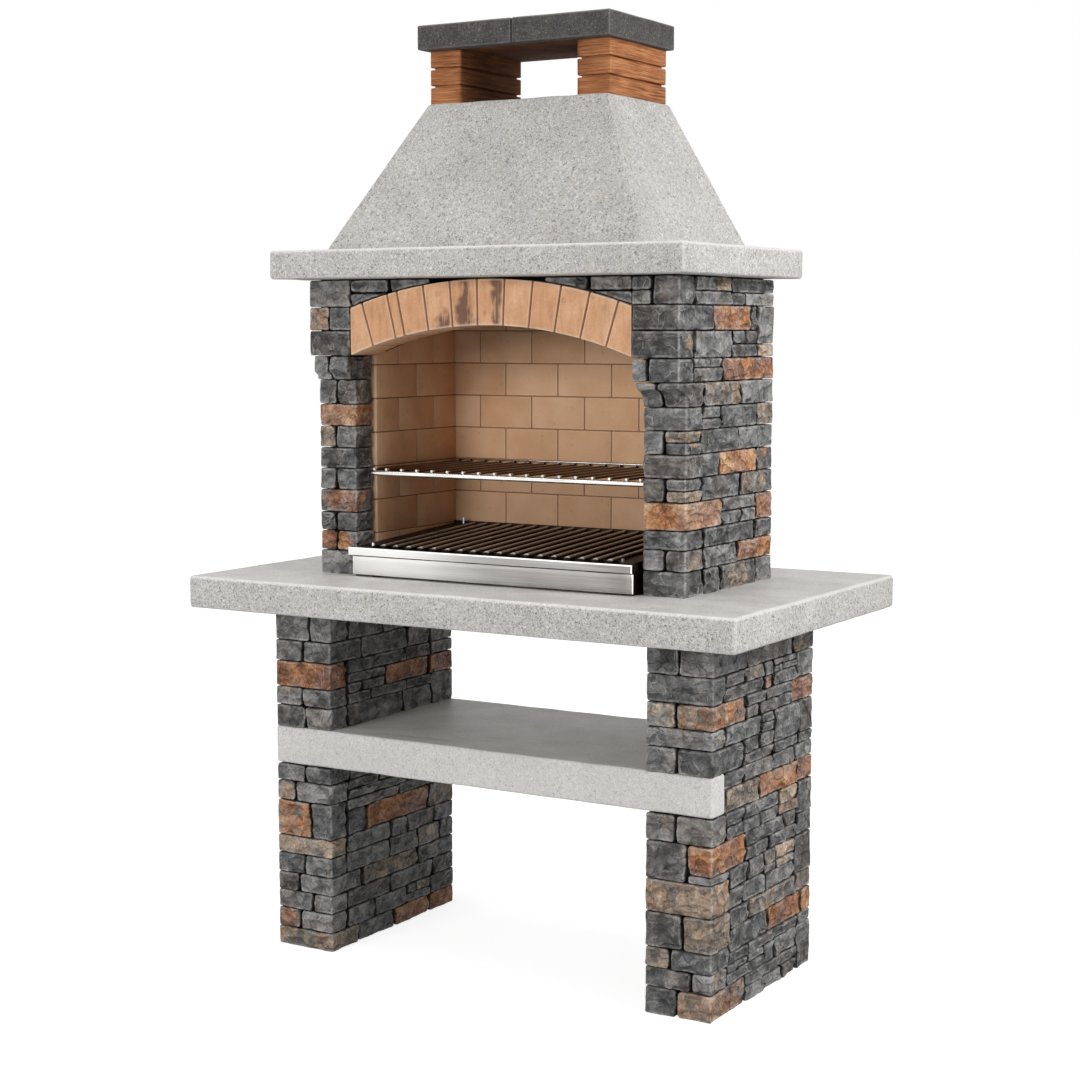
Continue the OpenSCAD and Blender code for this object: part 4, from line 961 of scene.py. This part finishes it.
# The mantel is a cast slab with a hole for the smoke, and the hollow hood that stands on it is cast in
# one with sloping sides. Both have the same skin as the slabs below.
rng = np.random.default_rng(71)
mantel_top, hood_top = 1651, 1984
smoke_hole = [-369, -95, 369, 200]
mantel = slab_shell([-533, -330, 533, 272], mantel_low, mantel_top, 7, 8, rng, smoke_hole, 44)
lay_mesh("mantel", concrete, [mantel], ["mantel_slab"])


def hood_ring(foot, rim, share, drawn_in, corner):
    """One ring of the hood, at a share of the way up from its foot to its rim."""
    plan = foot + (rim - foot) * share + np.array([1, 1, -1, -1]) * drawn_in
    return tuple(plan) + (corner, mantel_top + (hood_top - mantel_top) * share)


def hood_shell(rng):
    """The hood as closed rings: up the outside, over the rim, down the flue and back under the foot."""
    foot, rim = np.array([-412, -272, 412, 234]), np.array([-236, -113, 236, 175])
    foot_in, rim_in = np.array([-367, -227, 367, 189]), np.array([-148, -68, 148, 130])
    rise = [0, 0.012, 0.1, 0.25, 0.5, 0.75, 0.9, 0.99, 1]
    outside = [hood_ring(foot, rim, t, 2.5 if t in (0, 1) else 0, 5) for t in rise]
    inside = [hood_ring(foot_in, rim_in, t, 0, 3) for t in (1, 0.75, 0.5, 0.25, 0)]
    points = ringed(outside + inside, spaces=30, bends=4)
    faces, _ = grid_faces(*points.shape[:2], around_rows=True, around_columns=True)
    y0, y1 = points[..., 1].min(axis=0), points[..., 1].max(axis=0)
    # Painted shade: 1 where a line from the foot up, over the rim and down the flue is within a tenth of its
    # depth from its front end, and 0.25 everywhere else.
    sooty = 1 - 0.75 * step_up((points[..., 1] - y0) / (y1 - y0), 0.0, 0.1)
    return hand_made(points, rng, 140, 0.4), faces, [], {"sooty": sooty}


lay_mesh("smoke_hood", concrete, [hood_shell(rng)], ["hood"])

# Two brown blocks stand on the hood's rim and leave the flue open to the front and back. Each is cast
# to look like three courses, with deep grooves between them and a grain along its length.


def grooved_shell(plan, low, course, count, rng, deep=7.0, wide=5.0, arris=1.2):
    """A block as rings from foot to top: the rings step in and out again at each square groove."""
    stations = [(arris, low), (0, low + arris)]
    for k in range(1, count):
        joint = low + k * course
        stations += [(0, joint - wide / 2 - arris), (arris, joint - wide / 2), (deep, joint - wide / 2 + 0.3),
                     (deep, joint + wide / 2 - 0.3), (arris, joint + wide / 2), (0, joint + wide / 2 + arris)]
    stations += [(0, low + count * course - arris), (arris, low + count * course)]
    x0, y0, x1, y1 = plan
    points = ringed([(x0 + d, y0 + d, x1 - d, y1 - d, 2.5, z) for d, z in stations], spaces=16, bends=4)
    faces, caps = grid_faces(*points.shape[:2], around_rows=True)
    inner = abs(points[..., 0]) < min(abs(x0), abs(x1)) + deep + 0.2
    # The faces towards the flue are marked dark: soot, and painted shade inside the narrow flue.
    return hand_made(points, rng, 80, 0.35), faces, caps, {"sooty": 0.45 * inner}


brown, tree, place = finish_named("brown_block")
bent = stirred(tree, place, 9.0, 1.0, (0.0, 0.0, 0.006))
figure = noise(tree, stretched(tree, bent, (0.35, 0.35, 9.0)), 28.0, 5.0, Roughness=0.68)
figure = times_plus(tree, noise(tree, place, 12.0, 1.0), 0.35, figure)
pores = span(tree, noise(tree, stretched(tree, bent, (1, 1, 16.0)), 60.0, 2.0), 0.62, 0.72)
colour = tones(tree, figure, (0.5, 108, 62, 33), (0.67, 163, 103, 61), (0.84, 196, 136, 92))
colour = tinted(tree, colour, pores, 0.7, 84, 46, 26)
# Darker where marked: soot, and painted shade, on the flue faces and on the board under the cap.
colour = tinted(tree, colour, measure(tree, "sooty"), 0.75, 44, 26, 16)
dull = times_plus(tree, measure(tree, "sooty"), 0.3, 0.65)
dress(tree, colour, dull, (sum_of(tree, "SUBTRACT", figure, pores), 0.4, 0.0012), 0.22)
rng = np.random.default_rng(81)
for side in ("left", "right"):
    block = grooved_shell(mirrored([152, -103, 236, 160], side), hood_top, 40.4, 3, rng)
    lay_mesh(side + "_chimney", brown, [block], [side + "_chimney_block"])
board = slab_shell([-236, -103, 236, 160], 2104.4, 2113, 1.5, 2, rng, spaces=20)
# The board under the cap is marked dark all over: soot over the flue, and painted shade under the cap.
lay_mesh("soffit_board", brown, [board[:3] + ({"sooty": 1.0},)], ["cap_soffit"])

# The cap is two dark slabs laid side by side over a thin plate, with pale edges, rubbed and lit by a
# painted highlight, and a mottled grit in their skin.
charcoal, tree, place = finish_named("charcoal_concrete")
grain = use(tree, cast_grain,
            {"Vector": place, "Speck scale": 240.0, "Pit scale": 120.0, "Cloud scale": 30.0})
colour = tones(tree, grain["Speck"], (0.34, 44, 42, 41), (0.5, 70, 68, 67), (0.66, 112, 108, 104))
colour = shaded(tree, colour, grain["Cloud"], (0.3, 0.76, 0.76, 0.77), (0.7, 1.22, 1.2, 1.17))
colour = tinted(tree, colour, grain["Pit"], 0.5, 152, 142, 126)
# Pale arrises: rubbed wear, and a painted highlight strongest along the top edges.
colour = tinted(tree, colour, measure(tree, "arris"), 0.45, 168, 165, 162)
dress(tree, colour, 0.8, (grain["Speck"], 0.4, 0.0012), 0.35)
rng = np.random.default_rng(91)
cap_low, cap_top = 2105.2, 2160.2
for side in ("left", "right"):
    half = slab_shell(mirrored([1, -135, 251, 172], side), cap_low, cap_top, 4, 4, rng, spaces=16)
    lay_mesh(side + "_cap_slab", charcoal, [half], [side + "_cap"])

# The insert is folded from 2 mm stainless sheet, brushed along its length: side plates, a trough for
# the fat, and the ash pan with its front that draws out below.
brushed, given, result = pattern("brushed_lines", {}, ["Lines"])
lines = noise(brushed, stretched(brushed, given["Vector"], (1.2, 1.2, 260.0)), 4.0, 3.0)
brushed.links.new(lines, result["Lines"])


def behind(tree, place, limit):
    """0 in front of a depth in metres and 1 behind it."""
    depth = node(tree, "SeparateXYZ", {0: place}).outputs["Y"]
    return span(tree, depth, limit - 0.0005, limit + 0.0005)


def brushed_steel(name, limit, half=9.0, top=9.0):
    """Brushed stainless sheet, dark brown behind a limit: heat stain, and painted shade where it lies in
    shadow.

    Its folded edges, past half a length along X or above a top height in metres, are painted bright as a
    highlight.
    """
    material, tree, place = finish_named(name)
    lines = use(tree, brushed, {"Vector": place})["Lines"]
    sheen = times_plus(tree, lines, 0.35, noise(tree, place, 2.6, 1.0))
    spot = node(tree, "SeparateXYZ", {0: place}).outputs
    # Painted reflection: the sheet is drawn lighter at its left end and darker towards its right.
    sheen = sum_of(tree, "ADD", sheen, span(tree, spot["X"], -0.4, 0.4, 0.5, -0.36))
    colour = tones(tree, sheen, (0.5, 128, 125, 122), (1.0, 224, 223, 220))
    # Painted highlight on the folded edges.
    at_end = sum_of(tree, "GREATER_THAN", sum_of(tree, "ABSOLUTE", spot["X"], 0.0), half)
    at_top = sum_of(tree, "GREATER_THAN", spot["Z"], top)
    colour = mixed(tree, sum_of(tree, "MAXIMUM", at_end, at_top), colour, paint(250, 250, 249))
    # Dark brown behind the limit: heat stain, and painted shade where the sheet lies in shadow.
    heat_stain_and_shade = behind(tree, place, limit)
    colour = mixed(tree, heat_stain_and_shade, colour, paint(50, 40, 34))
    gloss = span(tree, lines, 0.0, 1.0, 0.26, 0.42)
    gloss = sum_of(tree, "MAXIMUM", gloss, times(tree, heat_stain_and_shade, 0.5))
    dress(tree, colour, gloss, (lines, 0.06, 0.0004), metal=1.0)
    return material


clad(["fire_grate_pegs"], brushed_steel("stainless_sheet", 0.3))
# Behind its lip the trough is dark brown: heat stain, and painted shade inside the channel.
clad(["fat_trough"], brushed_steel("trough_stain_and_shade", -0.2475, 0.3705, 0.9662))
front = slab_shell([-370, -238, 370, -236], 904.5, 947.5, 0.7, 0.8, np.random.default_rng(95), spaces=30)
lay_mesh("pan_front", brushed_steel("pan_sheet", 0.3, 0.3675), [front], ["ash_pan_front"],
         "ash_pan", 50)
# The grate frame and ash pan are dark brown: heat stain, and painted shade in the gaps between the bars.
clad(["grate_frame", "ash_pan"], brushed_steel("sheet_stain_and_shade", -0.3))

# The fire grate is loose: round dark bars that slope to the front, welded into cross rails between
# two side rails. The bars' front ends are ground bright, with a painted highlight on them and along each
# bar's top.


def bar_shell(x, rng, start=(-218.0, 970.0), end=(182.0, 992.0), radius=5.4, sides=16):
    """A round bar as rings along its slope. Its front end is spread a little and ground flat on top."""
    turn = np.linspace(0, 2 * math.pi, sides, endpoint=False)
    y0, z0 = start
    y1, z1 = end
    share = np.array([0, 0, 0.012, 0.02, 0.25, 0.5, 0.75, 0.995, 1])[:, None]
    flat = np.array([1.3, 1.4, 1.3, 1, 1, 1, 1, 1, 1])[:, None]
    thick = radius * np.array([0.9, 1, 1, 1, 1, 1, 1, 1, 0.85])[:, None]
    points = np.stack([x + thick * flat * np.cos(turn), y0 + (y1 - y0) * share + 0 * turn,
                       z0 + (z1 - z0) * share + thick * np.sin(turn)], axis=-1)
    points[:2, :, 2] = np.minimum(points[:2, :, 2], z0 + 0.6 * radius)
    points[..., 0] += rng.uniform(-0.8, 0.8) + rng.uniform(-0.8, 0.8) * (share - 0.5)
    faces, caps = grid_faces(*points.shape[:2], around_columns=True)
    # Painted highlight: a bright line along the top of each bar, and bright tops on its ground front end.
    ground_and_glint = np.zeros(points.shape[:2])
    ground_and_glint[3:] = 0.45 * (np.sin(turn) > 0.9)
    ground_and_glint[1:3] = np.sin(turn) > 0.5
    # Painted shade: the underside of each bar is marked to be drawn nearly black.
    under = 0.85 * step_up(0.75 - np.sin(turn), 0.0, 0.5)
    return points, faces, caps, {"ground_and_glint": ground_and_glint, "under": under, "tone": rng.uniform(0, 1)}


dark_bar, tree, place = finish_named("dark_bar")
mill_scale = noise(tree, place, 90.0, 4.0)
burnt = times_plus(tree, measure(tree, "tone"), 0.3, mill_scale)
colour = tones(tree, burnt, (0.35, 92, 85, 78), (0.95, 146, 137, 127))
# Painted shade on the bars' undersides.
colour = mixed(tree, measure(tree, "under"), colour, paint(40, 33, 28))
# Ground steel at the front ends, and a painted highlight there and along each bar's top.
colour = mixed(tree, measure(tree, "ground_and_glint"), colour, paint(232, 229, 223))
gloss = span(tree, mill_scale, 0.0, 1.0, 0.12, 0.3)
dress(tree, colour, gloss, metal=times_plus(tree, measure(tree, "ground_and_glint"), -0.7, 0.85))
rng = np.random.default_rng(93)
bars = [bar_shell(-300 + 600 / 17 * k, rng) for k in range(18)]
lay_mesh("fire_bars", dark_bar, bars, ["fire_grate_bars"], "fire_grate", 45)
clad(["ash_pan_skids", "fire_grate_rails", "grill_ledges"], brushed_steel("sooty_rail", -0.4))

# The cooking grill is made of drawn stainless rod on a thick front rail. The rails stay polished, and
# the rods are dark brown all but their tips: heat tint, and a painted reflection of the dark firebox.
smeared, given, result = pattern("smeared", {}, ["Smear"])
smeared.links.new(noise(smeared, given["Vector"], 14.0), result["Smear"])


def drawn_rod(name, dull, light, limit):
    """Drawn steel with smears of grease, from a dull to a light colour, and brown behind a limit."""
    material, tree, place = finish_named(name)
    smear = use(tree, smeared, {"Vector": place})["Smear"]
    colour = tones(tree, smear, (0.3, *dull), (0.7, *light))
    # Brown behind the limit: heat tint, and a painted reflection of the dark firebox.
    colour = mixed(tree, behind(tree, place, limit), colour, paint(84, 68, 56))
    dress(tree, colour, span(tree, smear, 0.0, 1.0, 0.1, 0.26), metal=1.0)
    return material


clad(["grill_rails"], drawn_rod("polished_rail", (218, 217, 214), (244, 243, 241), 0.4))
clad(["grill_rods"], drawn_rod("rod_tint_and_reflection", (206, 204, 200), (232, 231, 228), -0.166))
